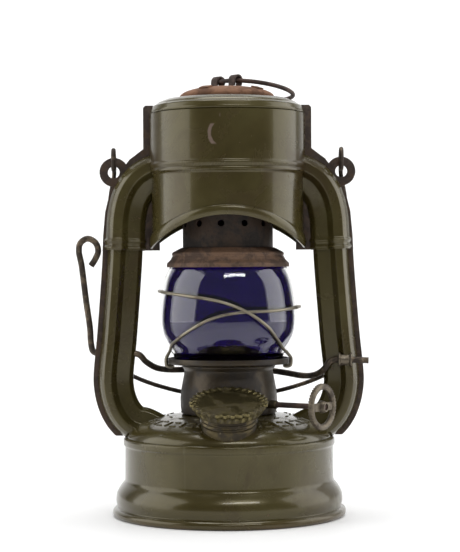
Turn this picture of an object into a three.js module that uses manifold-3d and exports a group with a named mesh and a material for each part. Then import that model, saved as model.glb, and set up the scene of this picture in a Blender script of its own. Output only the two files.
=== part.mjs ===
// A small kerosene storm lantern: tank, burner, wire-guarded globe, canopy and side tubes.
// Millimetres, +Z up. The origin is on the lantern's axis in the plane that it stands on; -Y is the front.
import * as THREE from "three";
import { mergeVertices } from "three/addons/utils/BufferGeometryUtils.js";
import Module from "manifold-3d";

const wasm = await Module();
wasm.setup();

// ---- Clearances ----
const GAP = 0.3; // between neighbouring pieces
const PLAY = 0.4; // around shafts, wires and other moving pieces

// ---- Driving dimensions ----
const SHEET = 0.9; // sheet metal
const tank = {
  footOut: 6.8, // foot's edge beyond the wall
  footHeight: 4.4,
  footLand: 2.3, // flat width of the foot ring
  bulge: 5.2, // how far the bulge stands out from the wall
  wallRadius: 57.1,
  wallTop: 43,
  seamHeight: 4.6,
  seamOut: 0.8,
  floorRise: 2,
  floorDiscRadius: 22,
};
const dome = { rise: 13.3, holeRadius: 18 };
const filler = {
  lean: 18, // degrees to the front
  setBack: 16.4, // from the tank wall to where the axis meets the dome
  neckRadius: 15.2,
  neckHeight: 15,
  capRadius: 20.9,
  capSkirtRadius: 17.4,
  capSkirtHeight: 5.8,
  capRim: 2.6,
  capSink: 0.7,
  flutes: 26,
  fluteDepth: 0.8,
  gasketThickness: 1.2,
};
const drum = { footRadius: 25.8, waistRadius: 26.6, neckRadius: 24.3, lipRadius: 25.6, height: 26.4 };
const burner = {
  turn: -35, // degrees about Z, so that the shaft points to the front right
  wickWidth: 10.5,
  wickThickness: 1.6,
  wickLength: 80,
  wickStand: 1.5, // wick above its tube
  tubeWall: 0.5,
  shaftDiameter: 3,
  shaftEnd: 2.2, // diameter of the turned-down end that carries the wick wheels
  shaftRise: 6.2, // above the dome's crown
  wheelRadius: 2.6,
  wheelTeeth: 10,
  wheelThickness: 1.2,
  wheelSpacing: 6,
  sleeveDiameter: 4.4,
  sleeveReach: 8,
  knobReach: 62.7,
  knobRadius: 12.35,
  knobRim: 3.2,
  knobThickness: 3.2,
  coneHeight: 13,
  coneFlat: 10,
};
const plate = { radius: 33.3, holeRadius: 24, thickness: 1, rimHeight: 3.2, airHoles: 12, airHole: 1.8 };
const globe = { footRadius: 29, bellyRadius: 38.3, topRadius: 31, height: 52.7, glass: 2 };
const guard = {
  wire: 1.7,
  crossing: 2.1, // how far the right wire stands off where it crosses the left one
  hookRadius: 30.6,
  // each wire's rise: angle from its hooked side, and height as a share of the globe's
  rightRise: [
    [18, 0.07], [44, 0.228], [58, 0.362], [70, 0.478], [82, 0.569], [97, 0.64], [116, 0.682], [137, 0.707],
    [158, 0.726], [180, 0.735],
  ],
  leftRise: [
    [18, 0.12], [45, 0.257], [62, 0.368], [76, 0.458], [90, 0.508], [106, 0.529], [124, 0.535], [142, 0.548],
    [160, 0.56], [180, 0.567],
  ],
};
const hood = { rimRadius: 33.5, bandRadius: 30.8, height: 9.7 };
const chimney = {
  radius: 24.75,
  length: 81.7,
  holes: 12,
  holeDiameter: 3.6,
  holeRise: 12.6, // above the hood
  holeTurn: -8.4, // degrees, first hole from the front
  springSeatRise: 35,
  springSeatRadius: 31.6,
};
const lid = { radius: 26, rise: 6.5, tabRadius: 20, tabTurn: 10 };
const staple = { spacing: 14, strip: 1, length: 4.6, turn: -46.7, clearRise: 2.7 };
const ring = { radius: 22, wire: 2.4, droop: 10 };
const spring = { radius: 28.6, wire: 1.8, turns: 4 };
const canopy = {
  radius: 42.6,
  archRadius: 58,
  archHalfWidth: 42,
  footAboveGlobe: 9.5, // canopy's lower tips above the globe's top
  lowerHeight: 40.5,
  beadHeight: 7,
  beadOut: 1.5,
  step: 0.9, // the lower part is this much narrower
  upperHeight: 25.7,
  topRise: 8.4,
  hemWidth: 5.6,
  hemOut: 1.2,
  flange: 3,
  flangeThickness: 2,
  earOut: 19.9, // ear centre beyond the canopy wall
  earRise: 42.5, // ear centre above the canopy's lower tips
  earRadius: 7.8,
  earHole: 6.6,
};
const tube = {
  width: 19,
  depth: 18.4,
  topOut: 13.8, // tube centre beyond the canopy wall, at the canopy's foot
  hipOut: 4.8, // tube centre beyond the tank wall, at the bend
  hipRise: 32, // bend above the tank's wall
  footIn: 10.6, // tube centre inside the tank wall, where it meets the dome
  sleeveGrow: 1.2,
  collarGrow: 2,
  collarHeight: 6.3,
  insert: 5, // tube inside its sleeve
};
const crank = {
  wire: 3.5,
  axisRise: 31.2, // pivot above the dome's crown, at the lantern's axis
  axisDrop: 1.75, // left end up and right end down by this, at the tubes
  axisSkew: 4.4, // left end back and right end forward by this, at the tubes
  axisForward: 3.6,
  bowBack: 29.2,
  bowDrop: 8.4, // bow below the pivot
  leverHeight: 63,
  leverOut: 6.6, // lever's lean outwards at its top
  hookWidth: 10.6,
  stubOut: 15.5, // right end beyond the tube's centre
  bushingLength: 7.4,
  bushingWall: 0.9,
  bushingFlange: 1,
};
const bail = {
  wire: 2.5,
  eyeRadius: 4.4,
  bowRise: 4.45, // middle of the bow above the dome's crown, when the bail hangs straight down
  spread: 3.2,
};

const BIG = 32; // facets of large rounds
const MID = 20;
const SMALL = 12;

// ---- Finishes ----
const FINISH = {
  olive: { color: 0x4a4629, roughness: 0.38, metalness: 0.35 },
  rust: { color: 0x5d3b28, roughness: 0.8, metalness: 0.3 },
  gunmetal: { color: 0x2b2723, roughness: 0.45, metalness: 0.7 },
  steel: { color: 0x7d7766, roughness: 0.4, metalness: 0.85 },
  oldWire: { color: 0x5a4c3d, roughness: 0.55, metalness: 0.7 },
  brass: { color: 0x7d6a35, roughness: 0.4, metalness: 0.9 },
  cork: { color: 0x9a7447, roughness: 0.95, metalness: 0 },
  cotton: { color: 0xcfc7ad, roughness: 1, metalness: 0 },
  glass: { color: 0x14103f, roughness: 0.05, metalness: 0, transparent: true, opacity: 0.8 },
};

// ---- Geometry helpers ----
const v = (x, y, z) => new THREE.Vector3(x, y, z);
const rad = THREE.MathUtils.degToRad;
const lerp = THREE.MathUtils.lerp;

// One closed body as a solid that can be joined and cut; a geometry that is inside out is turned.
function solid(geometry) {
  const bare = new THREE.BufferGeometry();
  bare.setAttribute("position", geometry.getAttribute("position").clone());
  if (geometry.index) bare.setIndex(geometry.index.clone());
  const merged = mergeVertices(bare, 1e-4);
  const make = (corners) =>
    new wasm.Manifold(
      new wasm.Mesh({
        numProp: 3,
        vertProperties: new Float32Array(merged.attributes.position.array),
        triVerts: Uint32Array.from(corners),
      }),
    );
  const made = make(merged.index.array);
  if (made.volume() > 0) return made;
  return make(Array.from(merged.index.array).reverse());
}

const join = (...parts) => parts.reduce((sum, part) => sum.add(part));
const cut = (body, ...tools) => tools.reduce((rest, tool) => rest.subtract(tool), body);

function geometryOf(body) {
  const mesh = body.getMesh();
  const positions = new Float32Array(mesh.numVert * 3);
  for (let i = 0; i < mesh.numVert; i++)
    positions.set(mesh.vertProperties.subarray(i * mesh.numProp, i * mesh.numProp + 3), i * 3);
  const geometry = new THREE.BufferGeometry();
  geometry.setAttribute("position", new THREE.BufferAttribute(positions, 3));
  geometry.setIndex(new THREE.BufferAttribute(mesh.triVerts, 1));
  const flat = geometry.toNonIndexed();
  flat.computeVertexNormals();
  return flat;
}

// Revolves [radius, z] points about Z. A profile that leaves the axis open is closed on itself.
function lathe(profile, facets = BIG) {
  const points = profile.map(([r, z]) => new THREE.Vector2(r, z));
  const onAxis = profile[0][0] === 0 && profile.at(-1)[0] === 0;
  if (!onAxis) points.push(points[0].clone());
  return solid(new THREE.LatheGeometry(points, facets).rotateX(Math.PI / 2));
}

const pipe = (outer, inner, z0, z1, facets) =>
  lathe([[inner, z0], [outer, z0], [outer, z1], [inner, z1]], facets);

function box(width, depth, height, centre) {
  return solid(new THREE.BoxGeometry(width, depth, height).translate(centre.x, centre.y, centre.z));
}

// A rod between two points.
function rod(from, to, radius, sides = 12) {
  const along = to.clone().sub(from);
  const geometry = new THREE.CylinderGeometry(radius, radius, along.length(), sides);
  const turn = new THREE.Quaternion().setFromUnitVectors(v(0, 1, 0), along.clone().normalize());
  geometry.applyQuaternion(turn);
  return solid(geometry.translate(...from.clone().add(to).multiplyScalar(0.5).toArray()));
}

// A smooth line through points that spreads an extrusion's steps evenly over its points, not over its
// length, so that close points make a fine bend and far ones a long straight.
class Course extends THREE.CatmullRomCurve3 {
  constructor(points) {
    super(points, false, "centripetal");
  }
  getUtoTmapping(u) {
    return u;
  }
}

// A wire of round section through the points, with some steps between each two of them.
function wire(points, diameter, stepsEach = 2, sides = 6) {
  const section = new THREE.Shape().absarc(0, 0, diameter / 2, 0, Math.PI * 2);
  const steps = (points.length - 1) * stepsEach;
  const options = { steps, extrudePath: new Course(points), curveSegments: sides / 2 };
  return solid(new THREE.ExtrudeGeometry(section, options));
}

// Extrudes an outline drawn in X and Z through a thickness in Y, centred on the plane y = 0.
function slab(shape, thickness, curveSegments = 10) {
  const options = { depth: thickness, bevelEnabled: false, curveSegments };
  const flat = new THREE.ExtrudeGeometry(shape, options).translate(0, 0, -thickness / 2);
  return solid(flat.rotateX(Math.PI / 2));
}

const polygon = (points) => new THREE.Shape(points.map(([x, y]) => new THREE.Vector2(x, y)));

function moved(body, matrix) {
  return solid(geometryOf(body).applyMatrix4(matrix));
}

const mirrored = (body) => moved(body, new THREE.Matrix4().makeScale(-1, 1, 1));

function group(parent) {
  const made = new THREE.Group();
  parent.add(made);
  return made;
}

function add(parent, name, body, finish) {
  const mesh = new THREE.Mesh(geometryOf(body), new THREE.MeshStandardMaterial(finish));
  mesh.name = name;
  parent.add(mesh);
}

// ---- Levels and places that follow from the sizes ----
const footRadius = tank.wallRadius + tank.footOut;
const crown = tank.wallTop - 0.8 + dome.rise; // top of the dome
const plateZ = crown + GAP + drum.height + GAP + GAP; // underside of the globe plate
const globeZ = plateZ + plate.thickness + GAP;
const globeTop = globeZ + globe.height;
const hoodZ = globeTop + GAP;
const hoodTop = hoodZ + hood.height;
const canopyZ = globeTop + canopy.footAboveGlobe; // lower tips of the canopy
const beadZ = canopyZ + canopy.lowerHeight;
const upperZ = beadZ + canopy.beadHeight;
const canopyTop = upperZ + canopy.upperHeight;
const topZ = canopyTop + canopy.topRise; // flat top of the canopy around the chimney
const chimneyTop = hoodTop - 1 + chimney.length;
const lidZ = Math.max(chimneyTop, topZ) + 2 * GAP;
const lidTop = lidZ + lid.rise;
const lowerRadius = canopy.radius - canopy.step;
const earX = canopy.radius + canopy.earOut;
const earZ = canopyZ + canopy.earRise;
const shaftZ = crown + burner.shaftRise;
const shaftY = -(burner.wickThickness / 2 + burner.wheelRadius + 0.25);
const wickTop = plateZ + 9;

// Height of the dome's outer face at a radius.
const domeCurve = { centre: dome.holeRadius + 1, reach: tank.wallRadius - SHEET - GAP - dome.holeRadius - 1 };
function domeHeight(radius, sink = 0) {
  const across = Math.min(Math.max((radius - domeCurve.centre) / (domeCurve.reach - sink), 0), 1);
  return crown - dome.rise + (dome.rise - sink) * Math.sqrt(1 - across * across);
}

// Outer radius of the globe at a height above its foot.
const globeProfile = new THREE.SplineCurve(
  [
    [globe.footRadius, 0],
    [globe.footRadius + 0.6, 0.04],
    [lerp(globe.footRadius, globe.bellyRadius, 0.36), 0.125],
    [lerp(globe.footRadius, globe.bellyRadius, 0.7), 0.215],
    [lerp(globe.footRadius, globe.bellyRadius, 0.93), 0.31],
    [globe.bellyRadius, 0.46],
    [lerp(globe.bellyRadius, globe.topRadius, 0.13), 0.655],
    [lerp(globe.bellyRadius, globe.topRadius, 0.43), 0.86],
    [lerp(globe.bellyRadius, globe.topRadius, 0.8), 0.97],
    [globe.topRadius, 1],
  ].map(([r, share]) => new THREE.Vector2(r, share * globe.height)),
);
function globeRadius(height) {
  const points = globeProfile.getPoints(80);
  const above = points.findIndex((p) => p.y >= height);
  if (above <= 0) return globe.footRadius;
  const [a, b] = [points[above - 1], points[above]];
  return lerp(a.x, b.x, (height - a.y) / (b.y - a.y));
}

// Radius at a height at which a wire's centre is clear of the globe above, beside and below it.
function globeBeside(height, clear) {
  const around = [-75, -50, -25, 0, 25, 50, 75].map(rad);
  return Math.max(...around.map((a) => globeRadius(height + clear * Math.sin(a)) + clear * Math.cos(a)));
}

const lantern = new THREE.Group();

// ---- Tank ----
function makeTankShell() {
  const { footHeight, footLand, wallRadius, wallTop, seamHeight, seamOut } = tank;
  const bulgeRadius = wallRadius + tank.bulge;
  const inner = footRadius - 1.2 - footLand;
  return lathe([
    [inner, 0],
    [footRadius - 1.2, 0],
    [footRadius, 1.2],
    [footRadius, footHeight - 1.2],
    [footRadius - 1.2, footHeight],
    [bulgeRadius - 0.8, footHeight + 0.2],
    [bulgeRadius, footHeight + 4],
    [bulgeRadius - 0.4, footHeight + 9],
    [wallRadius + 2.6, footHeight + 14],
    [wallRadius, footHeight + 18],
    [wallRadius, wallTop - seamHeight],
    [wallRadius + seamOut, wallTop - seamHeight + 0.8],
    [wallRadius + seamOut, wallTop - 0.8],
    [wallRadius, wallTop],
    [wallRadius - SHEET, wallTop],
    [wallRadius - SHEET, footHeight + 17.6],
    [wallRadius + 1.6, footHeight + 13.6],
    [bulgeRadius - 1.2 - SHEET, footHeight + 8.4],
    [inner, footHeight],
  ]);
}

function makeTankFloor() {
  const edge = footRadius - 1.2 - tank.footLand - GAP;
  const { floorRise, floorDiscRadius } = tank;
  return lathe([
    [0, 0],
    [floorDiscRadius, 0],
    [floorDiscRadius + 2, floorRise],
    [edge, floorRise],
    [edge, tank.footHeight],
    [edge - SHEET, tank.footHeight],
    [edge - SHEET, floorRise + SHEET],
    [floorDiscRadius + 1, floorRise + SHEET],
    [floorDiscRadius - 1, SHEET],
    [0, SHEET],
  ]);
}

function makeTankDome() {
  const edge = tank.wallRadius - SHEET - GAP;
  const skirt = tank.wallTop - 3;
  const radii = [1, 0.96, 0.86, 0.7, 0.45, 0].map((s) => domeCurve.centre + s * domeCurve.reach);
  const inward = [0, 0.45, 0.7, 0.86, 0.96, 1].map((s) => domeCurve.centre + s * (domeCurve.reach - SHEET));
  const shell = lathe([
    [edge, skirt],
    ...radii.map((r) => [r, domeHeight(r)]),
    [dome.holeRadius, crown],
    [dome.holeRadius, crown - SHEET],
    ...inward.map((r) => [r, domeHeight(r, SHEET)]),
    [edge - SHEET, skirt],
  ]);
  const mouth = moved(pipe(filler.neckRadius + GAP, 0, -20, 20, MID), fillerPlace);
  return cut(shell, mouth);
}

const fillerPlace = new THREE.Matrix4().compose(
  v(0, -(tank.wallRadius - filler.setBack), domeHeight(tank.wallRadius - filler.setBack) - 5),
  new THREE.Quaternion().setFromAxisAngle(v(1, 0, 0), rad(filler.lean)),
  v(1, 1, 1),
);

add(lantern, "tank_shell", makeTankShell(), FINISH.olive);
add(lantern, "tank_floor", makeTankFloor(), FINISH.olive);
add(lantern, "tank_dome", makeTankDome(), FINISH.olive);

// ---- Filler, drawn upright and leaned to the front ----
const fillerGroup = group(lantern);
fillerPlace.decompose(fillerGroup.position, fillerGroup.quaternion, fillerGroup.scale);

const gasketZ = filler.neckHeight + 2 * GAP;
const capTop = gasketZ + filler.gasketThickness + GAP + SHEET + filler.capSink;

function makeFillerNeck() {
  const { neckRadius, neckHeight } = filler;
  const bore = neckRadius - 2 * SHEET;
  const thread = [0.62, 0.74, 0.86].flatMap((share) => [
    [neckRadius - 0.7, neckHeight * share],
    [neckRadius, neckHeight * share + 0.9],
  ]);
  return lathe(
    [[bore, 0], [neckRadius - 0.7, 0], [neckRadius - 0.7, neckHeight * 0.3], ...thread,
      [neckRadius - 0.7, neckHeight], [bore, neckHeight]],
    MID,
  );
}

function makeFillerCap() {
  const { capRadius, capSkirtRadius, capSkirtHeight, capRim, capSink, neckRadius } = filler;
  const { flutes, fluteDepth } = filler;
  const bottom = capTop - capSkirtHeight;
  const outline = [];
  for (let i = 0; i < flutes * 2; i++) {
    const angle = (i / (flutes * 2)) * Math.PI * 2;
    const radius = capRadius - 0.3 - (i % 2 ? fluteDepth : 0);
    outline.push([radius * Math.cos(angle), radius * Math.sin(angle)]);
  }
  const options = { depth: capSkirtHeight, bevelEnabled: false };
  const fluted = solid(new THREE.ExtrudeGeometry(polygon(outline), options).translate(0, 0, bottom));
  const flare = lathe([
    [0, bottom], [capSkirtRadius, bottom], [capRadius, capTop - 1.2], [capRadius, capTop], [0, capTop],
  ]);
  const rimBead = pipe(capRadius, capRadius - capRim, capTop - 1.2, capTop, BIG);
  const hollow = neckRadius + PLAY;
  const inside = pipe(hollow, 0, bottom - 1, gasketZ + filler.gasketThickness + GAP, MID);
  const sink = pipe(capRadius - capRim, 0, capTop - capSink, capTop + 1, BIG);
  return cut(join(fluted.intersect(flare), rimBead), inside, sink);
}

add(fillerGroup, "filler_neck", makeFillerNeck(), FINISH.gunmetal);
add(
  fillerGroup,
  "filler_gasket",
  pipe(filler.neckRadius, filler.neckRadius - 5, gasketZ, gasketZ + filler.gasketThickness, MID),
  FINISH.cork,
);
add(fillerGroup, "filler_cap", makeFillerCap(), FINISH.gunmetal);

// ---- Burner ----
const drumZ = crown + GAP;
const drumTop = drumZ + drum.height;
function makeBurnerDrum() {
  const { footRadius, waistRadius, neckRadius, lipRadius, height } = drum;
  const shell = lathe([
    [footRadius, drumZ],
    [waistRadius, drumZ + 0.28 * height],
    [lerp(waistRadius, neckRadius, 0.5), drumZ + 0.6 * height],
    [neckRadius, drumTop - 2.6],
    [lipRadius, drumTop - 0.8],
    [lipRadius, drumTop],
    [neckRadius - SHEET, drumTop],
    [neckRadius - SHEET, drumTop - 2.6],
    [lerp(waistRadius, neckRadius, 0.5) - SHEET, drumZ + 0.6 * height],
    [waistRadius - SHEET, drumZ + 0.28 * height],
    [footRadius - SHEET, drumZ],
  ]);
  const wayOut = v(2 * footRadius, shaftY, shaftZ);
  return cut(shell, inBurner(rod(v(0, shaftY, shaftZ), wayOut, burner.sleeveDiameter / 2 + GAP)));
}

const burnerTurn = new THREE.Matrix4().makeRotationZ(rad(burner.turn));
function inBurner(body) {
  return moved(body, burnerTurn);
}

const tubeWide = burner.wickWidth + 2 * GAP + 2 * burner.tubeWall;
const tubeDeep = burner.wickThickness + 2 * GAP + 2 * burner.tubeWall;

function makeBurnerBase() {
  const body = lathe([
    [0, crown - 4.5],
    [dome.holeRadius - GAP, crown - 4.5],
    [dome.holeRadius - GAP, crown + GAP],
    [dome.holeRadius + 3, crown + GAP],
    [dome.holeRadius + 3, crown + GAP + 1.2],
    [0, crown + GAP + 1.2],
  ], MID);
  return cut(body, box(tubeWide + 2 * GAP, tubeDeep + 2 * GAP, 20, v(0, 0, crown)));
}

function makeWickTube() {
  const bottom = crown - 12;
  const height = wickTop - burner.wickStand - bottom;
  const middle = v(0, 0, bottom + height / 2);
  const outer = box(tubeWide, tubeDeep, height, middle);
  const bore = box(burner.wickWidth + 2 * GAP, burner.wickThickness + 2 * GAP, height + 2, middle);
  const windows = [-1, 1].map((side) =>
    box(burner.wheelThickness + 2 * PLAY, tubeDeep, 2 * burner.wheelRadius + 1,
      v((side * burner.wheelSpacing) / 2, -tubeDeep / 2, shaftZ)),
  );
  return cut(outer, bore, ...windows);
}

function makeWickWheel(side) {
  const { wheelTeeth, wheelRadius, wheelThickness, wheelSpacing, shaftEnd } = burner;
  const outline = [];
  for (let i = 0; i < wheelTeeth * 2; i++) {
    const angle = (i / (wheelTeeth * 2)) * Math.PI * 2;
    const radius = i % 2 ? wheelRadius : wheelRadius - 0.6;
    outline.push([radius * Math.cos(angle), radius * Math.sin(angle)]);
  }
  const options = { depth: wheelThickness, bevelEnabled: false };
  const wheel = solid(new THREE.ExtrudeGeometry(polygon(outline), options)
    .translate(0, 0, -wheelThickness / 2).rotateY(Math.PI / 2)
    .translate((side * wheelSpacing) / 2, shaftY, shaftZ));
  return cut(wheel, rod(v(-20, shaftY, shaftZ), v(20, shaftY, shaftZ), shaftEnd / 2 + GAP));
}

function makeWickShaft() {
  const end = burner.wheelSpacing / 2 + burner.wheelThickness + 1.5;
  const thin = rod(v(-end, shaftY, shaftZ), v(end + 1, shaftY, shaftZ), burner.shaftEnd / 2);
  const knobEnd = v(burner.knobReach + 2, shaftY, shaftZ);
  const thick = rod(v(end, shaftY, shaftZ), knobEnd, burner.shaftDiameter / 2);
  return join(thin, thick);
}

function makeShaftSleeve() {
  const start = drum.waistRadius - 5;
  const from = v(start, shaftY, shaftZ);
  const to = v(drum.waistRadius + burner.sleeveReach, shaftY, shaftZ);
  const bore = rod(v(0, shaftY, shaftZ), v(60, shaftY, shaftZ), burner.shaftDiameter / 2 + GAP, SMALL);
  return cut(rod(from, to, burner.sleeveDiameter / 2 + 0.1, SMALL), bore);
}

function makeWickKnob() {
  const { knobReach, knobRadius, knobRim, knobThickness, shaftDiameter } = burner;
  const half = knobThickness / 2;
  const middle = knobRadius - knobRim / 2;
  const rim = lathe([
    [knobRadius - knobRim, -half * 0.5], [middle, -half], [knobRadius, -half * 0.6],
    [knobRadius, half * 0.6], [middle, half], [knobRadius - knobRim, half * 0.5],
  ], MID);
  const bar = box(4.4, 2 * middle, knobThickness * 0.45, v(0, 0, 0));
  const hub = new THREE.CylinderGeometry(2.4, 3.4, 3.6, 12).rotateX(Math.PI / 2).translate(0, 0, 1);
  const body = join(rim, bar, solid(hub));
  const bore = rod(v(0, 0, -10), v(0, 0, 10), shaftDiameter / 2 + GAP);
  const facing = new THREE.Matrix4().makeRotationY(Math.PI / 2);
  facing.premultiply(new THREE.Matrix4().makeTranslation(knobReach, shaftY, shaftZ));
  return moved(cut(body, bore), facing);
}

function makeBurnerCone() {
  const foot = drum.neckRadius - SHEET - GAP;
  const top = drumTop - 2 + burner.coneHeight;
  const [half, high] = [lerp(drumTop, top, 0.5), lerp(drumTop, top, 0.78)];
  const shell = lathe([
    [0, top - SHEET], [burner.coneFlat - 0.4, top - 0.5 - SHEET], [foot * 0.66 - SHEET / 2, high - SHEET],
    [foot * 0.86 - SHEET, half - SHEET / 2], [foot - SHEET, drumTop + 1.4], [foot - SHEET, drumTop - 2],
    [foot, drumTop - 2], [foot, drumTop + 1.8], [foot * 0.86, half], [foot * 0.66, high],
    [burner.coneFlat, top - 0.5], [0, top],
  ], MID);
  return cut(shell, inBurner(box(tubeWide + 1.6, tubeDeep + 1.6, 14, v(0, 0, top))));
}

const burnerGroup = group(lantern);
burnerGroup.rotation.z = rad(burner.turn);
add(lantern, "burner_drum", makeBurnerDrum(), FINISH.gunmetal);
add(burnerGroup, "burner_base", makeBurnerBase(), FINISH.brass);
add(burnerGroup, "wick_tube", makeWickTube(), FINISH.brass);
add(burnerGroup, "wick", box(burner.wickWidth, burner.wickThickness, burner.wickLength,
  v(0, 0, wickTop - burner.wickLength / 2)), FINISH.cotton);
add(burnerGroup, "wick_wheel_inner", makeWickWheel(-1), FINISH.brass);
add(burnerGroup, "wick_wheel_outer", makeWickWheel(1), FINISH.brass);
add(burnerGroup, "wick_shaft", makeWickShaft(), FINISH.gunmetal);
add(burnerGroup, "shaft_sleeve", makeShaftSleeve(), FINISH.gunmetal);
add(burnerGroup, "wick_knob", makeWickKnob(), FINISH.steel);
add(lantern, "burner_cone", makeBurnerCone(), FINISH.brass);

// ---- Globe, its plate and its guard ----
function makeGlobePlate() {
  const { radius, holeRadius, thickness, rimHeight, airHoles, airHole } = plate;
  const pan = lathe([
    [holeRadius, plateZ],
    [radius - 0.6, plateZ],
    [radius, plateZ + 0.6],
    [radius, plateZ + rimHeight],
    [radius - SHEET, plateZ + rimHeight],
    [radius - SHEET, plateZ + thickness],
    [holeRadius, plateZ + thickness],
  ]);
  const ringRadius = holeRadius + airHole;
  const punches = Array.from({ length: airHoles }, (_, i) => {
    const angle = ((i + 0.5) / airHoles) * Math.PI * 2;
    const [x, y] = [ringRadius * Math.cos(angle), ringRadius * Math.sin(angle)];
    return rod(v(x, y, plateZ - 1), v(x, y, plateZ + 3), airHole / 2, 6);
  });
  return cut(pan, ...punches);
}

function makeGlobe() {
  const outer = globeProfile.getSpacedPoints(10).map((p) => [p.x, globeZ + p.y]);
  const inner = globeProfile.getSpacedPoints(7).map((p) => [p.x - globe.glass, globeZ + p.y]).reverse();
  return lathe([...outer, ...inner]);
}

// One guard wire: hooked under the plate on its low side, high on the other. Angles run from the low side.
function makeGuardWire(lowSide, course, lift) {
  const half = new THREE.SplineCurve(course.map(([angle, share]) => new THREE.Vector2(angle, share)));
  const rise = half.getPoints(18);
  const both = [...rise, ...rise.slice(0, -1).reverse().map((p) => new THREE.Vector2(360 - p.x, p.y))];
  const turn = lowSide > 0 ? 0 : 180;
  const at = (angle, radius, z) =>
    v(radius * Math.cos(rad(angle + turn)), radius * Math.sin(rad(angle + turn)), z);
  const clear = guard.wire / 2 + GAP;
  const around = both.map(({ x: angle, y: share }) => {
    const height = share * globe.height;
    const besidePlate = height < plate.rimHeight + 3 ? plate.radius + clear : 0;
    const hug = Math.max(globeBeside(height, clear), besidePlate);
    const sag = hug * (1 - Math.cos(Math.PI / both.length)); // of the straight facets between the points
    const crossing = lift * THREE.MathUtils.smoothstep(-Math.cos(rad(2 * angle)), 0.1, 0.6);
    return at(angle, hug + sag + crossing, globeZ + height);
  });
  const under = plateZ - clear - 0.1;
  const beside = plate.radius + clear + 0.25;
  const hook = (angle) => [
    at(angle, guard.hookRadius, under),
    at(angle, plate.radius - 0.6, under - 0.2),
    at(angle, beside - 0.3, under + 0.5),
    at(angle, beside, plateZ + 0.8),
    at(angle, beside, plateZ + 3),
  ];
  return wire([...hook(10), ...around, ...hook(350).reverse()], guard.wire, 1);
}

add(lantern, "globe_plate", makeGlobePlate(), FINISH.gunmetal);
add(lantern, "globe", makeGlobe(), FINISH.glass);
add(lantern, "guard_wire_right", makeGuardWire(1, guard.rightRise, guard.crossing), FINISH.steel);
add(lantern, "guard_wire_left", makeGuardWire(-1, guard.leftRise, 0), FINISH.steel);

// ---- Hood, chimney, lid and lift ring ----
function makeHood() {
  const { rimRadius, bandRadius } = hood;
  const collar = chimney.radius + GAP;
  return lathe([
    [rimRadius, hoodZ],
    [rimRadius, hoodZ + 1],
    [bandRadius + 0.4, hoodZ + 3.4],
    [bandRadius, hoodZ + 6.4],
    [bandRadius - 1.4, hoodZ + 7.4],
    [collar + 0.3, hoodTop],
    [collar, hoodTop - SHEET],
    [bandRadius - 1.9, hoodZ + 6.3],
    [bandRadius - SHEET, hoodZ + 3],
    [rimRadius - SHEET, hoodZ + 0.4],
    [rimRadius - SHEET, hoodZ],
  ]);
}

const springZ = hoodTop + chimney.springSeatRise;
function makeChimney() {
  const wall = pipe(chimney.radius, chimney.radius - SHEET, hoodTop - 2, chimneyTop, BIG);
  const punches = Array.from({ length: chimney.holes }, (_, i) => {
    const angle = rad(-90 + chimney.holeTurn + (i * 360) / chimney.holes);
    const z = hoodTop + chimney.holeRise;
    const reach = chimney.radius + 2;
    return rod(v(10 * Math.cos(angle), 10 * Math.sin(angle), z),
      v(reach * Math.cos(angle), reach * Math.sin(angle), z), chimney.holeDiameter / 2, 8);
  });
  return cut(wall, ...punches);
}

function makeSpring() {
  const low = springZ + 1.2 + GAP + spring.wire / 2;
  const high = topZ - SHEET - 2 * GAP - spring.wire / 2;
  const points = [];
  for (let i = 0; i <= spring.turns * 12; i++) {
    const share = i / (spring.turns * 12);
    const rise = THREE.MathUtils.smoothstep(share, -0.06, 1.06);
    const angle = share * spring.turns * Math.PI * 2;
    points.push(v(spring.radius * Math.cos(angle), spring.radius * Math.sin(angle), lerp(low, high, rise)));
  }
  return wire(points, spring.wire, 1);
}

function makeLid() {
  const { radius, rise, tabRadius, tabTurn } = lid;
  const share = [0, 0.28, 0.55, 0.8, 0.96];
  const vault = (s) => Math.sqrt(1 - s * s);
  const inner = share.map((s) => [(radius - SHEET) * s, lidZ + (rise - SHEET) * vault(s)]);
  const outer = share.map((s) => [radius * s, lidZ + 0.6 + (rise - 0.6) * vault(s)]).reverse();
  const edge = [[radius - SHEET, lidZ], [radius, lidZ], [radius, lidZ + 0.8]];
  const shell = lathe([...inner, ...edge, ...outer], MID);
  const tabs = [0, 1, 2, 3].map((i) => {
    const tab = new THREE.BoxGeometry(4.4, 6.4, 1.6).rotateY(rad(18));
    return solid(tab.translate(tabRadius, 0, lidZ + 0.66 * rise).rotateZ(rad(45 + tabTurn + 90 * i)));
  });
  return join(shell, ...tabs);
}

// The ring turns about a line through both staples.
const ringAxisZ = lidTop + staple.clearRise;
const tunnel = ring.wire / 2 + 1.1;
function makeStaple(side) {
  const outer = tunnel + staple.strip;
  const foot = lidTop - 0.2 - ringAxisZ;
  const arch = new THREE.Shape();
  arch.moveTo(outer, foot).absarc(0, 0, outer, 0, Math.PI).lineTo(-outer, foot).lineTo(-tunnel, foot);
  arch.absarc(0, 0, tunnel, Math.PI, 0, true).lineTo(tunnel, foot);
  const options = { depth: staple.length, bevelEnabled: false, curveSegments: 8 };
  const place = new THREE.Matrix4().makeTranslation((side * staple.spacing) / 2, 0, ringAxisZ);
  const upright = new THREE.ExtrudeGeometry(arch, options).translate(0, 0, -staple.length / 2);
  return solid(upright.rotateX(Math.PI / 2).rotateZ(Math.PI / 2).applyMatrix4(place));
}

function makeLiftRing() {
  const chordDistance = Math.sqrt(ring.radius ** 2 - (staple.spacing / 2) ** 2);
  const loop = new THREE.TorusGeometry(ring.radius, ring.wire / 2, 6, 26).rotateZ(0.1);
  loop.translate(0, chordDistance, 0).rotateX(rad(-ring.droop)).translate(0, 0, ringAxisZ);
  return solid(loop);
}

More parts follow.
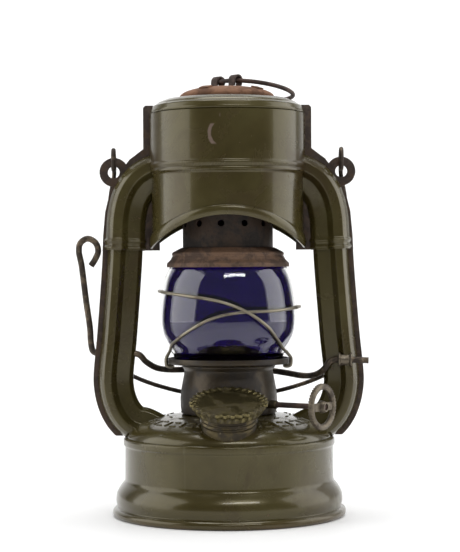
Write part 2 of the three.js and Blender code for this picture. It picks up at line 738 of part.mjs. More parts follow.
add(lantern, "globe_hood", makeHood(), FINISH.rust);
add(lantern, "chimney_tube", makeChimney(), FINISH.rust);
const springSeat = pipe(chimney.springSeatRadius, chimney.radius + GAP, springZ, springZ + 1.2, MID);
add(lantern, "spring_seat", springSeat, FINISH.gunmetal);
add(lantern, "hood_spring", makeSpring(), FINISH.oldWire);
add(lantern, "chimney_lid", makeLid(), FINISH.rust);
const lidGroup = group(lantern);
lidGroup.rotation.z = rad(staple.turn);
add(lidGroup, "staple_left", makeStaple(-1), FINISH.oldWire);
add(lidGroup, "staple_right", makeStaple(1), FINISH.oldWire);
add(lidGroup, "lift_ring", makeLiftRing(), FINISH.oldWire);

// ---- Side tubes ----
// Moves each side of a clockwise outline outwards by a distance, or inwards by a negative one.
function offset(points, distance) {
  const normal = (i) => {
    const [a, b] = [points.at(i % points.length), points.at((i + 1) % points.length)];
    const length = Math.hypot(b[0] - a[0], b[1] - a[1]);
    return [(a[1] - b[1]) / length, (b[0] - a[0]) / length];
  };
  return points.map(([x, y], i) => {
    const [n, m] = [normal(i - 1 + points.length), normal(i)];
    const share = distance / (1 + n[0] * m[0] + n[1] * m[1]);
    return [x + (n[0] + m[0]) * share, y + (n[1] + m[1]) * share];
  });
}

// Section of a tube: x is depth towards the front, y is outwards from the tube's centre.
// A raised strip runs along the outer half of both faces, and the inner half is lower.
function tubeSection(grow = 0) {
  const [w, d] = [tube.width / 2, tube.depth / 2];
  const half = [
    [d * 0.3, w], [d * 0.7, w - 1.6], [d, w - 3.6], [d, w - 7.4],
    [d * 0.56, w - 10], [d * 0.4, 2 - w], [d * 0.1, -w],
  ];
  return polygon(offset([...half, ...half.map(([x, y]) => [-x, y]).reverse()], grow));
}

const flangeSection = () => {
  const [w, t] = [tube.width / 2, canopy.flangeThickness / 2];
  return polygon([[t, w - 0.6], [t, w + canopy.flange], [-t, w + canopy.flange], [-t, w - 0.6]]);
};

function sweep(section, points, stepsEach = 1) {
  const options = { steps: (points.length - 1) * stepsEach, extrudePath: new Course(points) };
  return solid(new THREE.ExtrudeGeometry(section, options));
}

const hipX = tank.wallRadius + tube.hipOut;
const footX = tank.wallRadius - tube.footIn;
const shoulderX = canopy.radius + tube.topOut;
const hipZ = tank.wallTop + tube.hipRise;

// Centre line of the right tube, from inside the dome up to a height in its sleeve: an elliptic bend from
// the dome out to the hip, then nearly straight up.
function tubeLine(top) {
  const foot = domeHeight(footX) - 1.6;
  const bend = [0, 0.12, 0.26, 0.4, 0.55, 0.7, 0.85].map((share) => {
    const angle = (share * Math.PI) / 2;
    return v(lerp(footX, hipX, Math.sin(angle)), 0, lerp(hipZ, foot, Math.cos(angle)));
  });
  const line = [0, 0.35, 1].map((s) => v(lerp(hipX, shoulderX, s ** 0.85), 0, lerp(hipZ, canopyZ - 2, s)));
  return [v(footX - 9, 0, foot - 4.6), ...bend, ...line, v(shoulderX, 0, top)];
}

function tubeCentre(z) {
  const points = new Course(tubeLine(canopyZ + tube.insert)).getPoints(200);
  return points.find((p) => p.z >= z).x;
}

// The lift crank's pivot line.
const pivotX = tubeCentre(crown + crank.axisRise);
const pivotZ = crown + crank.axisRise;
function onPivot(x) {
  const share = x / pivotX;
  return v(x, -crank.axisForward - crank.axisSkew * share, pivotZ - crank.axisDrop * share);
}

const domeBlock = lathe([
  [0, -10],
  [tank.wallRadius + tank.seamOut + GAP, -10],
  [tank.wallRadius + tank.seamOut + GAP, tank.wallTop + GAP],
  ...[0.96, 0.86, 0.7, 0.45, 0].map((s) => {
    const r = domeCurve.centre + s * domeCurve.reach;
    return [r + GAP, domeHeight(r) + GAP];
  }),
  [0, crown + GAP],
]);

function makeSideTube() {
  const body = sweep(tubeSection(), tubeLine(canopyZ + tube.insert));
  const bore = sweep(tubeSection(-SHEET), tubeLine(canopyZ + tube.insert + 1));
  const seam = sweep(flangeSection(), tubeLine(canopyZ - 2 * GAP));
  return cut(join(body, seam), bore, domeBlock);
}

function makeRightTube() {
  const groove = crank.wire / 2 + PLAY + crank.bushingWall + crank.bushingFlange + 2 * GAP;
  return cut(makeSideTube(), rod(onPivot(pivotX - 2.2), onPivot(pivotX + 20), groove, SMALL));
}

function makeLeftTube() {
  const hole = rod(onPivot(-pivotX - 20), onPivot(-pivotX + 20), crank.wire / 2 + PLAY + GAP, SMALL);
  const edge = pivotX + tube.width / 2 + canopy.flange;
  const notch = box(4.4, 8, crank.wire + 4.5, v(-edge, 0, onPivot(-pivotX).z + 0.8));
  return cut(mirrored(makeSideTube()), hole, notch);
}

add(lantern, "side_tube_left", makeLeftTube(), FINISH.olive);
add(lantern, "side_tube_right", makeRightTube(), FINISH.olive);

// ---- Canopy ----
function sleeveLine(start) {
  return [
    v(shoulderX, 0, start),
    v(shoulderX - 0.3, 0, canopyZ + 8),
    v(shoulderX - 1.2, 0, canopyZ + 19.5),
    v(shoulderX - 3.8, 0, canopyZ + 29),
    v(shoulderX - 8.8, 0, canopyZ + 36.5),
    v(shoulderX - 16, 0, canopyZ + 41),
    v(shoulderX - 24, 0, canopyZ + 42.5),
  ];
}

function flangeOutline() {
  const outer = shoulderX + tube.width / 2 + canopy.flange;
  const inner = canopy.radius - 5;
  const seam = canopy.radius + canopy.flange + 0.6;
  const rim = canopyTop + 5;
  return polygon([
    [inner, canopyZ - GAP], [outer, canopyZ - GAP], [outer - 0.4, canopyZ + 8], [outer - 1.5, canopyZ + 20.5],
    [outer - 3.7, canopyZ + 29.5], [outer - 8, canopyZ + 40], [outer - 15.2, canopyZ + 49.5],
    [outer - 19, canopyZ + 52.3], [seam, canopyZ + 55.2], [seam, rim - 1.2], [seam - 1.2, rim], [inner, rim],
  ]);
}

function makeCanopyWhole() {
  const wall = lathe([
    [0, canopyZ - 8], [lowerRadius, canopyZ - 8], [lowerRadius, beadZ],
    [lowerRadius + canopy.beadOut, beadZ + 1.6], [lowerRadius + canopy.beadOut, upperZ - 1.6],
    [canopy.radius, upperZ], [canopy.radius, canopyTop], [0, canopyTop],
  ]);
  const inside = lathe([
    [0, canopyZ - 9], [lowerRadius - SHEET, canopyZ - 9], [lowerRadius - SHEET, upperZ - 1],
    [canopy.radius - SHEET, upperZ + 1], [canopy.radius - SHEET, canopyTop + 0.01],
    [canopy.radius + GAP, canopyTop + 0.01], [canopy.radius + GAP, canopyTop + 20], [0, canopyTop + 20],
  ]);
  const archZ = canopyZ - Math.sqrt(canopy.archRadius ** 2 - canopy.archHalfWidth ** 2);
  const arch = rod(v(0, -90, archZ), v(0, 90, archZ), canopy.archRadius, 40);
  const hemLine = cut(
    rod(v(0, -60, archZ), v(0, 60, archZ), canopy.archRadius + canopy.hemWidth, 40),
    box(200, 200, 60, v(0, 0, canopyZ - 30)),
  );
  const hem = pipe(lowerRadius + canopy.hemOut, lowerRadius - SHEET, canopyZ, beadZ, BIG).intersect(hemLine);
  const seam = slab(flangeOutline(), canopy.flangeThickness);
  const deep = canopy.flangeThickness / 2;
  const lobe = rod(v(earX, -deep, earZ), v(earX, deep, earZ), canopy.earRadius, MID);
  const eye = rod(v(earX, -9, earZ), v(earX, 9, earZ), canopy.earHole / 2, SMALL);
  const sleeve = sweep(tubeSection(tube.sleeveGrow), sleeveLine(canopyZ - GAP));
  const bore = sweep(tubeSection(GAP), sleeveLine(canopyZ - 1));
  const collar = sweep(tubeSection(tube.collarGrow), [
    v(shoulderX, 0, canopyZ - GAP), v(shoulderX - 0.2, 0, canopyZ + tube.collarHeight),
  ]);
  const side = join(seam, lobe, sleeve, collar);
  const apertures = join(bore, eye);
  const whole = join(wall, hem, side, mirrored(side));
  const trimmed = cut(whole, inside, apertures, mirrored(apertures), arch);
  return cut(trimmed, box(2 * (lowerRadius - 1), 120, 40, v(0, 0, canopyZ - 20 - GAP)));
}

const canopyWhole = makeCanopyWhole();
const frontHalf = box(200, 100, 200, v(0, -50 - GAP / 2, canopyZ + 50));
const backHalf = box(200, 100, 200, v(0, 50 + GAP / 2, canopyZ + 50));

function makeCanopyTop() {
  const r = canopy.radius;
  const hole = chimney.radius + PLAY * 2;
  const [z, top] = [canopyTop + 0.5, topZ];
  return lathe([
    [r - SHEET - GAP, canopyTop - 4],
    [r - SHEET - GAP, canopyTop - 0.2],
    [r - 0.5, z],
    [r - 0.2, z + 1.2],
    [r - 1.4, z + 4.4],
    [r - 4.6, top - 2],
    [r - 8.6, top - 0.3],
    [hole, top],
    [hole, top - SHEET],
    [r - 8.8, top - 0.3 - SHEET],
    [r - 5.2, top - 2 - SHEET],
    [r - 2.4, z + 3.8],
    [r - 2.2, z - 1],
    [r - 2.2, canopyTop - 4],
  ]);
}

add(lantern, "canopy_front", canopyWhole.intersect(frontHalf), FINISH.olive);
add(lantern, "canopy_back", canopyWhole.intersect(backHalf), FINISH.olive);
add(lantern, "canopy_top", makeCanopyTop(), FINISH.olive);

// ---- Lift crank ----
function makeBushing() {
  const bore = crank.wire / 2 + PLAY;
  const [start, end] = [pivotX - 0.9, pivotX - 0.9 + crank.bushingLength];
  const sleeve = rod(onPivot(start), onPivot(end), bore + crank.bushingWall, SMALL);
  const flanges = [start, end - 1].map((x) =>
    rod(onPivot(x), onPivot(x + 1), bore + crank.bushingWall + crank.bushingFlange, SMALL));
  return cut(join(sleeve, ...flanges), rod(onPivot(start - 5), onPivot(end + 5), bore, SMALL));
}

function makeLiftCrank() {
  const half = tube.width / 2;
  const edge = pivotX + half + canopy.flange + crank.wire / 2 + PLAY; // lever beside the seam flange
  const base = onPivot(-edge);
  const topX = -edge - crank.leverOut;
  const leverZ = base.z + crank.leverHeight;
  const hook = crank.hookWidth;
  const inner = (x) => onPivot(x).y;
  const left = onPivot(-pivotX + half + 1.6);
  const right = onPivot(pivotX - 4);
  const y = base.y;
  const points = [
    v(topX + hook * 0.62, y, leverZ - 15),
    v(topX + hook * 0.84, y, leverZ - 11.4),
    v(topX + hook, y, leverZ - 6.8),
    v(topX + hook * 0.86, y, leverZ - 2.2),
    v(topX + hook * 0.45, y, leverZ),
    v(topX + hook * 0.08, y, leverZ - 2.4),
    v(topX, y, leverZ - 7),
    v(topX + 1.3, y, leverZ - 14),
    v(lerp(topX, -edge, 0.58), y, lerp(leverZ, base.z, 0.55)),
    v(lerp(topX, -edge, 0.88), y, lerp(leverZ, base.z, 0.78)),
    v(-edge - 0.2, y, base.z + 5),
    v(-edge + 1, y, base.z + 0.8),
    onPivot(-edge + 4.4),
    onPivot(-pivotX),
    left,
    v(left.x + 4, left.y + 3.6, left.z - 4.2),
    v(left.x + 9.6, left.y + 9, left.z - crank.bowDrop + 0.4),
    v(-pivotX * 0.5, crank.bowBack * 0.68, pivotZ - crank.bowDrop),
    v(-pivotX * 0.31, crank.bowBack * 0.92, pivotZ - crank.bowDrop),
    v(0, crank.bowBack, pivotZ - crank.bowDrop),
    v(pivotX * 0.31, crank.bowBack * 0.92, pivotZ - crank.bowDrop - 0.6),
    v(pivotX * 0.52, crank.bowBack * 0.62, pivotZ - crank.bowDrop - 1.9),
    v(pivotX * 0.68, crank.bowBack * 0.28, pivotZ - crank.bowDrop - 3),
    v(right.x - 8.8, inner(right.x) + 5.4, right.z - 8.4),
    v(right.x - 4.6, inner(right.x) - 0.4, right.z - 5),
    v(right.x - 1.4, inner(right.x), right.z - 1),
    onPivot(right.x + 2.4),
    onPivot(pivotX + crank.stubOut),
  ];
  return wire(points, crank.wire);
}

add(lantern, "crank_bushing", makeBushing(), FINISH.steel);
add(lantern, "lift_crank", makeLiftCrank(), FINISH.oldWire);

// ---- Bail, drawn hanging straight down from its eyes and swung back until it lies on the drum ----
const bailPivotZ = earZ + (canopy.earHole / 2 + canopy.earRadius) / 2;
const bailReach = bailPivotZ - crown - bail.bowRise;
function makeBail() {
  const { eyeRadius, spread } = bail;
  const spreadX = earX + spread;
  const eye = Array.from({ length: 12 }, (_, i) => {
    const angle = rad(275 * (1 - i / 11));
    return v(earX, eyeRadius * Math.cos(angle), eyeRadius * Math.sin(angle));
  });
  const side = [
    ...eye,
    v(earX + 0.2, eyeRadius, -8),
    v(lerp(earX, spreadX, 0.75), eyeRadius, -20),
    v(spreadX, eyeRadius, -36),
    v(spreadX, eyeRadius, -0.76 * bailReach),
    v(spreadX - 0.8, eyeRadius, -0.815 * bailReach),
    v(spreadX - 3.4, eyeRadius, -0.862 * bailReach),
    v(spreadX * 0.81, eyeRadius, -0.91 * bailReach),
    v(spreadX * 0.44, eyeRadius, -0.972 * bailReach),
  ];
  const other = side.map((p) => v(-p.x, p.y, p.z)).reverse();
  return wire([...side, v(0, eyeRadius, -bailReach), ...other], bail.wire, 1);
}

// The lean that lays the bow against the drum.
function bailLean() {
  const { eyeRadius, wire: thickness } = bail;
  const target = drum.waistRadius + thickness / 2 + GAP;
  const span = Math.hypot(bailReach, eyeRadius);
  return Math.asin(target / span) - Math.atan2(eyeRadius, bailReach);
}

const bailGroup = group(lantern);
bailGroup.position.z = bailPivotZ;
bailGroup.rotation.x = bailLean();
add(bailGroup, "bail", makeBail(), FINISH.oldWire);

export default lantern;
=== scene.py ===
import math

import bmesh
import bpy
import numpy as np
from mathutils import Matrix, Vector


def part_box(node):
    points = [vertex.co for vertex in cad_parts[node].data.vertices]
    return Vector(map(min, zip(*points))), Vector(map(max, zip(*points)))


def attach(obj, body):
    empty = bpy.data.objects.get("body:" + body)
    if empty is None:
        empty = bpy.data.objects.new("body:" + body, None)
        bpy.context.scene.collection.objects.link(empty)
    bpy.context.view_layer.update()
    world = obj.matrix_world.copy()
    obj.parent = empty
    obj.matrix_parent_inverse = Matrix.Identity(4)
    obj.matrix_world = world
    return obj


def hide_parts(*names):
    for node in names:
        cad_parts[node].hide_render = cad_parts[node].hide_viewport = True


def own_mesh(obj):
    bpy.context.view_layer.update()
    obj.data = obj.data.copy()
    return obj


# %% [markdown]
# A small kerosene storm lantern: a painted tank with a burner in its middle, a blue globe in wire guards,
# a canopy held up by two air tubes, and the wire crank, bail and ring that a hand works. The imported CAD
# model is loaded first as a fixed frame. It says where every piece is and how it moves, and each piece
# below is a finer version of one of its nodes, made in the same place.

# %% Load the frame
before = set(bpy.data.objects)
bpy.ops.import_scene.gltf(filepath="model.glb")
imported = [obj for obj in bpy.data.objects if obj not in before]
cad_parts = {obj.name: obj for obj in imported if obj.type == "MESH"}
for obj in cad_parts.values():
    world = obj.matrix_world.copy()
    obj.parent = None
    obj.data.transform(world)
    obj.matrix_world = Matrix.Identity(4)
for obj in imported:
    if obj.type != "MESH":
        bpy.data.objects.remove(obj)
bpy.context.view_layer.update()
MM = 0.001  # shape sizes below are in millimetres


def extent(node, axis=2):
    """Lowest and highest place of a CAD node along X, Y or Z, in millimetres."""
    low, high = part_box(node)
    return low[axis] / MM, high[axis] / MM


wall_top = extent("tank_shell")[1]
crown = extent("tank_dome")[1]
drum_low, drum_top = extent("burner_drum")
plate_low, plate_top = extent("globe_plate")
globe_low, globe_top = extent("globe")
hood_low, hood_top = extent("globe_hood")
chimney_low, chimney_top = extent("chimney_tube")
canopy_low, top_joint = extent("canopy_front")[0], extent("canopy_top")[0] + 4
canopy_crown = extent("canopy_top")[1]
lid_low, lid_high = extent("chimney_lid")
print(f"crown of the tank {crown:.1f} mm, top of the lid {lid_high:.1f} mm")

# %% [markdown]
# The camera comes first, so that every later step can be looked at. It stands level with the globe, about
# a metre away, with a long lens, as is usual for a small product. It looks down by less than half a
# degree and leans by as little.

# %% Camera
EYE_SIDE, EYE_HEIGHT, EYE_DISTANCE = 0.0011, 0.1374, 0.962
LENS, LOOK_DOWN, LEAN = 114.1, 0.39, 0.35  # focal length in millimetres, then degrees
camera = bpy.data.objects.new("camera", bpy.data.cameras.new("camera"))
camera.data.lens = LENS
camera.location = (EYE_SIDE, -EYE_DISTANCE, EYE_HEIGHT)
camera.rotation_euler = (math.radians(90 - LOOK_DOWN), math.radians(LEAN), 0)
bpy.context.scene.collection.objects.link(camera)
bpy.context.scene.camera = camera
print("camera lens", camera.data.lens, "mm")

# %% [markdown]
# Node trees are long to write out one call at a time. Two small classes keep the shader maths readable:
# Signal wraps a socket and overloads the arithmetic operators, and Finish makes the material and any
# node in it. The maths then reads like a formula.


# %% Shader helpers
class Signal:
    """A socket of a shader tree that is added, subtracted and multiplied like a number."""

    def __init__(self, finish, socket):
        self.finish, self.socket = finish, socket

    def maths(self, operation, first, second):
        return self.finish.node("ShaderNodeMath", {"operation": operation, "use_clamp": False},
                                {0: first, 1: second})

    def __add__(self, other):
        return self.maths("ADD", self, other)

    def __sub__(self, other):
        return self.maths("SUBTRACT", self, other)

    def __rsub__(self, other):
        return self.maths("SUBTRACT", other, self)

    def __mul__(self, other):
        return self.maths("MULTIPLY", self, other)

    __radd__, __rmul__ = __add__, __mul__


class Finish:
    """One material, with a Principled shader and the nodes that feed it."""

    def __init__(self, name, **constants):
        self.material = bpy.data.materials.new(name)
        self.material.use_nodes = True
        self.tree = self.material.node_tree
        self.shader = self.tree.nodes["Principled BSDF"]
        for socket, value in constants.items():
            self.shader.inputs[socket.replace("_", " ")].default_value = value
        self.place = self.node("ShaderNodeTexCoord", {}, {}, "Object")

    def node(self, kind, settings, inputs, output=0):
        made = self.tree.nodes.new(kind)
        for name, value in settings.items():
            setattr(made, name, value)
        for key, value in inputs.items():
            self.feed(made.inputs[key], value)
        return Signal(self, made.outputs[output])

    def feed(self, socket, value):
        if isinstance(value, Signal):
            self.tree.links.new(value.socket, socket)
        elif hasattr(value, "__len__") and socket.type == "RGBA":
            socket.default_value = (*value, 1)
        else:
            socket.default_value = value

    def noise(self, scale, detail=3.0, roughness=0.55, distortion=0.0, stretch=(1, 1, 1)):
        """Soft noise from 0 to 1 whose grain is 1 / scale metres across."""
        where = self.node("ShaderNodeMapping", {}, {"Vector": self.place, "Scale": stretch})
        return self.node("ShaderNodeTexNoise", {}, {"Vector": where, "Scale": scale, "Detail": detail,
                                                    "Roughness": roughness, "Distortion": distortion})

    def above(self, value, low, high):
        """0 below low, 1 above high, and smooth between them."""
        return self.node("ShaderNodeMapRange", {"interpolation_type": "SMOOTHSTEP", "clamp": True},
                         {"Value": value, "From Min": low, "From Max": high, "To Min": 0.0, "To Max": 1.0})

    def mix(self, share, first, second):
        return self.node("ShaderNodeMix", {"data_type": "RGBA"}, {"Factor": share, 6: first, 7: second}, 2)

    def axis(self, which):
        return self.node("ShaderNodeSeparateXYZ", {}, {"Vector": self.place}, which)

    def wear(self, colour, roughness, height, depth, metallic=None):
        """Connects what varies over the surface: colour, roughness, metalness and relief."""
        self.feed(self.shader.inputs["Base Color"], colour)
        self.feed(self.shader.inputs["Roughness"], roughness)
        if metallic is not None:
            self.feed(self.shader.inputs["Metallic"], metallic)
        bump = self.node("ShaderNodeBump", {}, {"Height": height, "Distance": depth, "Strength": 1.0})
        self.feed(self.shader.inputs["Normal"], bump)
        print("finish", self.material.name, "with", len(self.tree.nodes), "nodes")
        return self.material


# %% [markdown]
# The enamel is an olive-drab paint on sheet steel. It has aged: the olive shifts towards brown in clouds,
# small chips show dark primer and rust, fine scratches cross the flat parts, and handling has left it
# glossy in some places and dull in others. Each of these is one mask from noise of its own grain, and
# the masks are laid over each other with Mix nodes.


# %% Olive enamel
def scar(paint, x, z, radius, start, end):
    """A thin curved scar on the front: 1 on a circle's left side between two heights, in metres."""
    across, up = paint.axis("X") - x, paint.axis("Z") - z
    ragged = paint.noise(420, 3, 0.6) * 0.0009
    off_circle = paint.node("ShaderNodeMath", {"operation": "ABSOLUTE"}, {0: paint.node(
        "ShaderNodeMath", {"operation": "SQRT"}, {0: across * across + up * up}) - radius})
    line = paint.above(0.0016 - off_circle - ragged, 0.0, 0.0005)
    return line * paint.above(0.0 - across, 0.001, 0.002) * paint.above(up, start, start + 0.001) * (
        1 - paint.above(up, end, end + 0.001)) * paint.above(0.0 - paint.axis("Y"), 0.0, 0.001)


def olive_enamel(name, rust_share, brown_share, scars=()):
    paint = Finish(name, Metallic=0.0, Coat_Weight=0.28, Coat_Roughness=0.05, Specular_Tint=(1, 0.9, 0.6, 1))
    clouds = paint.noise(22, 4, 0.6)
    olive = paint.mix(paint.above(clouds, 0.35, 0.7), (0.035, 0.0265, 0.0062), (0.057, 0.047, 0.0155))
    tarnish = paint.above(paint.noise(30, 6, 0.65, 0.6), 0.5 - brown_share, 0.72 - brown_share)
    olive = paint.mix(tarnish * 0.75, olive, (0.028, 0.016, 0.005))
    scratches = paint.above(paint.noise(150, 2, 0.5, 0.2, (1, 1, 0.05)), 0.7, 0.76)
    olive = paint.mix(scratches * 0.35, olive, (0.11, 0.10, 0.06))
    chips = paint.above(paint.noise(330, 4, 0.6), 0.70, 0.73)
    specks = paint.mix(chips, olive, (0.07, 0.036, 0.018))
    foot_rust = paint.above(0.006 - paint.axis("Z"), 0.0, 0.006) * paint.above(clouds, 0.3, 0.6)
    rust = paint.above(paint.noise(75, 6, 0.7, 1.0), 0.74 - rust_share, 0.84 - rust_share)
    rusted = paint.mix(rust * 0.8 + foot_rust * 0.5, specks, (0.06, 0.028, 0.012))
    for place in scars:
        rusted = paint.mix(scar(paint, *place) * 0.9, rusted, (0.16, 0.115, 0.095))
    dull = 0.16 + clouds * 0.16 + tarnish * 0.12 + chips * 0.35 + rust * 0.4
    relief = paint.noise(700, 2) * 0.10 + paint.noise(34, 2) * 1.0 - chips * 0.35 - rust * 0.2
    return paint.wear(rusted, dull, relief, 0.00022)


enamel = olive_enamel("olive_enamel", 0.0, 0.0)
worn_enamel = olive_enamel("worn_olive_enamel", 0.16, 0.12)
scarred_enamel = olive_enamel("scarred_olive_enamel", 0.0, 0.05, [
    (-0.0012, 0.2065, 0.0082, -0.0062, 0.0044), (-0.0022, 0.2158, 0.0010, -0.0013, 0.0013)])


# %% [markdown]
# The bare metals are one family: drawn wire, pressed sheet and cast trim that have darkened with heat and
# age. They share a recipe, a base metal under a brown oxide, and differ in how much of it is left bare,
# how rough it is and how coarse its grain is.


# %% Old metals
def old_metal(name, bare, oxide, oxide_share, roughness, grain, depth, metallic=0.9, spots=None):
    metal = Finish(name)
    clouds = metal.noise(grain, 5, 0.65, 0.4)
    oxidised = metal.above(clouds, 0.68 - 0.5 * oxide_share, 0.84 - 0.5 * oxide_share)
    fine = metal.noise(grain * 9, 3, 0.6)
    colour = metal.mix(oxidised, bare, oxide)
    colour = metal.mix(metal.above(fine, 0.5, 0.85) * 0.5, colour, tuple(0.45 * c for c in oxide))
    if spots:
        bright = metal.above(metal.noise(grain * 2.3, 3, 0.6), 0.66, 0.74)
        colour = metal.mix(bright * 0.8, colour, spots)
    rough = roughness + oxidised * 0.25 + fine * 0.15
    return metal.wear(colour, rough, clouds * 0.7 + fine * 0.3, depth, metallic - oxidised * 0.55)


wire_metal = old_metal("old_wire", (0.15, 0.115, 0.08), (0.035, 0.024, 0.016), 0.6, 0.33, 130, 0.00012,
                       spots=(0.34, 0.29, 0.23))
guard_metal = old_metal("guard_wire", (0.27, 0.24, 0.18), (0.10, 0.075, 0.05), 0.3, 0.3, 120, 0.0001)
knob_metal = old_metal("aged_steel", (0.16, 0.135, 0.10), (0.06, 0.045, 0.032), 0.4, 0.34, 160, 0.00015,
                       spots=(0.42, 0.38, 0.33))
gunmetal = old_metal("worn_gunmetal", (0.085, 0.067, 0.034), (0.030, 0.021, 0.009), 0.5, 0.26, 110, 0.0003,
                     spots=(0.24, 0.20, 0.13))
sooty_metal = old_metal("sooty_metal", (0.046, 0.034, 0.020), (0.018, 0.012, 0.007), 0.5, 0.28, 60, 0.0002,
                        0.6)
cap_metal = old_metal("cap_metal", (0.15, 0.125, 0.055), (0.055, 0.043, 0.018), 0.45, 0.24, 110, 0.0003,
                      spots=(0.32, 0.27, 0.18))
rusty_sheet = old_metal("rusty_sheet", (0.15, 0.085, 0.05), (0.06, 0.034, 0.021), 0.5, 0.5, 90, 0.0004, 0.35)
lid_rust = old_metal("lid_rust", (0.21, 0.10, 0.05), (0.10, 0.047, 0.025), 0.5, 0.7, 90, 0.0005, 0.1)
rust_seam = old_metal("rusty_seam", (0.050, 0.027, 0.013), (0.024, 0.012, 0.006), 0.55, 0.36, 140, 0.0003,
                      0.2)
chimney_metal = old_metal("heated_sheet", (0.045, 0.028, 0.018), (0.016, 0.011, 0.008), 0.5, 0.5, 80,
                          0.0003, 0.5)
dark_oxide = old_metal("dark_oxide", (0.085, 0.05, 0.038), (0.035, 0.022, 0.017), 0.5, 0.5, 150, 0.0003, 0.4)
dull_brass = old_metal("dull_brass", (0.36, 0.27, 0.12), (0.11, 0.08, 0.04), 0.4, 0.34, 90, 0.0002,
                       spots=(0.6, 0.52, 0.38))

# %% [markdown]
# The globe is clear glass with a thin blue layer on its inside, so a bright colourless rim shows at its
# edge and the middle is deep violet-blue. Two glass materials do this without any tricks: the outer face
# of the wall is clear, and the inner face tints what passes through it.


# %% Globe glass
def globe_glass(name, tint, smudges):
    glass = Finish(name, Transmission_Weight=1.0, IOR=1.47, Specular_IOR_Level=0.22, Base_Color=(*tint, 1))
    haze = glass.above(glass.noise(60, 4, 0.6), 0.55, 0.8)
    glass.feed(glass.shader.inputs["Roughness"], haze * smudges)
    ripple = glass.node("ShaderNodeBump", {}, {"Height": glass.noise(45, 2), "Distance": 0.00005,
                                               "Strength": 1.0})
    glass.feed(glass.shader.inputs["Normal"], ripple)
    return glass.material


clear_glass = globe_glass("clear_glass", (1.0, 1.0, 1.0), 0.05)
blue_glass = globe_glass("blue_layer", (0.004, 0.0014, 0.036), 0.05)

# %% [markdown]
# The wick is woven cotton, burnt black at its end, and the gasket is pressed cork. Both are only glimpsed,
# so their weave and granules are simple bands and cells.

# %% Cotton and cork
weave = Finish("woven_cotton", Metallic=0.0)
strands = weave.node("ShaderNodeTexWave", {"bands_direction": "Z"}, {"Vector": weave.place, "Scale": 420.0,
                                                                    "Distortion": 1.5, "Detail": 2.0})
burnt = weave.above(weave.axis("Z"), 0.083, 0.089)
cotton = weave.wear(weave.mix(burnt, weave.mix(strands, (0.42, 0.37, 0.27), (0.62, 0.58, 0.47)),
                              (0.01, 0.009, 0.008)),
                    weave.noise(300) * 0.1 + 0.85, strands, 0.0003)
granules = Finish("pressed_cork", Metallic=0.0)
cells = granules.node("ShaderNodeTexVoronoi", {}, {"Vector": granules.place, "Scale": 700.0}, "Distance")
cork = granules.wear(granules.mix(cells, (0.36, 0.22, 0.11), (0.16, 0.09, 0.045)),
                     granules.noise(500) * 0.1 + 0.8, cells, 0.0003)

# %% [markdown]
# Most sheet-metal pieces of a lantern are spun or drawn: a profile turned round the axis. The profile is
# drawn with straight lines and then each corner is rounded a little, because a real edge always catches
# a thin line of light, and the turned mesh has enough facets to look round in the outline.


# %% Mesh helpers
def piece(name, corners, faces, material, body, *nodes, slot=None, crease=32):
    """A finished piece from corners in millimetres: its place is in its mesh."""
    mesh = bpy.data.meshes.new(name)
    mesh.from_pydata([tuple(c * MM for c in corner) for corner in corners], [], faces)
    mesh.materials.append(material)
    return finished(mesh, name, body, nodes, crease)


def finished(mesh, name, body, nodes, crease=32):
    clean = bmesh.new()
    clean.from_mesh(mesh)
    bmesh.ops.remove_doubles(clean, verts=clean.verts, dist=1e-7)
    bmesh.ops.recalc_face_normals(clean, faces=clean.faces)
    clean.to_mesh(mesh)
    clean.free()
    mesh.shade_smooth()
    mesh.set_sharp_from_angle(angle=math.radians(crease))
    made = bpy.data.objects.new(name, mesh)
    bpy.context.scene.collection.objects.link(made)
    if body:
        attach(made, body)
    if nodes:
        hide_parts(*nodes)
    print(f"{name}: {len(mesh.polygons)} faces")
    return made


def rounded(points, radius, steps=3, closed=True):
    """A line with each corner turned into a short arc, no longer than a third of its sides."""
    made = []
    count = len(points)
    for i, corner in enumerate(points):
        here = np.array(corner[:2], float)
        if not closed and i in (0, count - 1):
            made.append(tuple(here))
            continue
        before, after = np.array(points[i - 1][:2], float), np.array(points[(i + 1) % count][:2], float)
        reach = corner[2] if len(corner) > 2 else radius
        to_before, to_after = before - here, after - here
        cut = min(reach, 0.42 * np.linalg.norm(to_before), 0.42 * np.linalg.norm(to_after))
        first = here + to_before / np.linalg.norm(to_before) * cut
        last = here + to_after / np.linalg.norm(to_after) * cut
        for step in range(steps + 1):
            t = step / steps
            made.append(tuple((1 - t) ** 2 * first + 2 * t * (1 - t) * here + t * t * last))
    return made


def turned(profile, facets=128, start=0.0):
    """Corners and faces of a (radius, height) profile turned round Z; a closed profile makes a ring."""
    on_axis = abs(profile[0][0]) < 1e-6 and abs(profile[-1][0]) < 1e-6
    corners = [
        (r * math.cos(start + 2 * math.pi * i / facets), r * math.sin(start + 2 * math.pi * i / facets), z)
        for i in range(facets)
        for r, z in profile
    ]
    count = len(profile)
    faces = []
    for i in range(facets):
        a, b = i * count, ((i + 1) % facets) * count
        for j in range(count - 1 if on_axis else count):
            k = (j + 1) % count
            faces.append((a + j, b + j, b + k, a + k))
    return corners, faces


def sheet_profile(line, thickness):
    """A closed profile for sheet metal: a line, and the same line moved to its left by the thickness."""
    points = [np.array(p[:2], float) for p in line]
    inner = []
    for i, point in enumerate(points):
        sides = []
        if i > 0:
            sides.append(points[i] - points[i - 1])
        if i < len(points) - 1:
            sides.append(points[i + 1] - points[i])
        normals = [np.array((-s[1], s[0])) / max(np.linalg.norm(s), 1e-9) for s in sides]
        middle = sum(normals) / len(normals)
        middle /= max(np.linalg.norm(middle) ** 2, 0.3)
        inner.append(tuple(point + middle * thickness))
    return [tuple(p) for p in points] + inner[::-1]


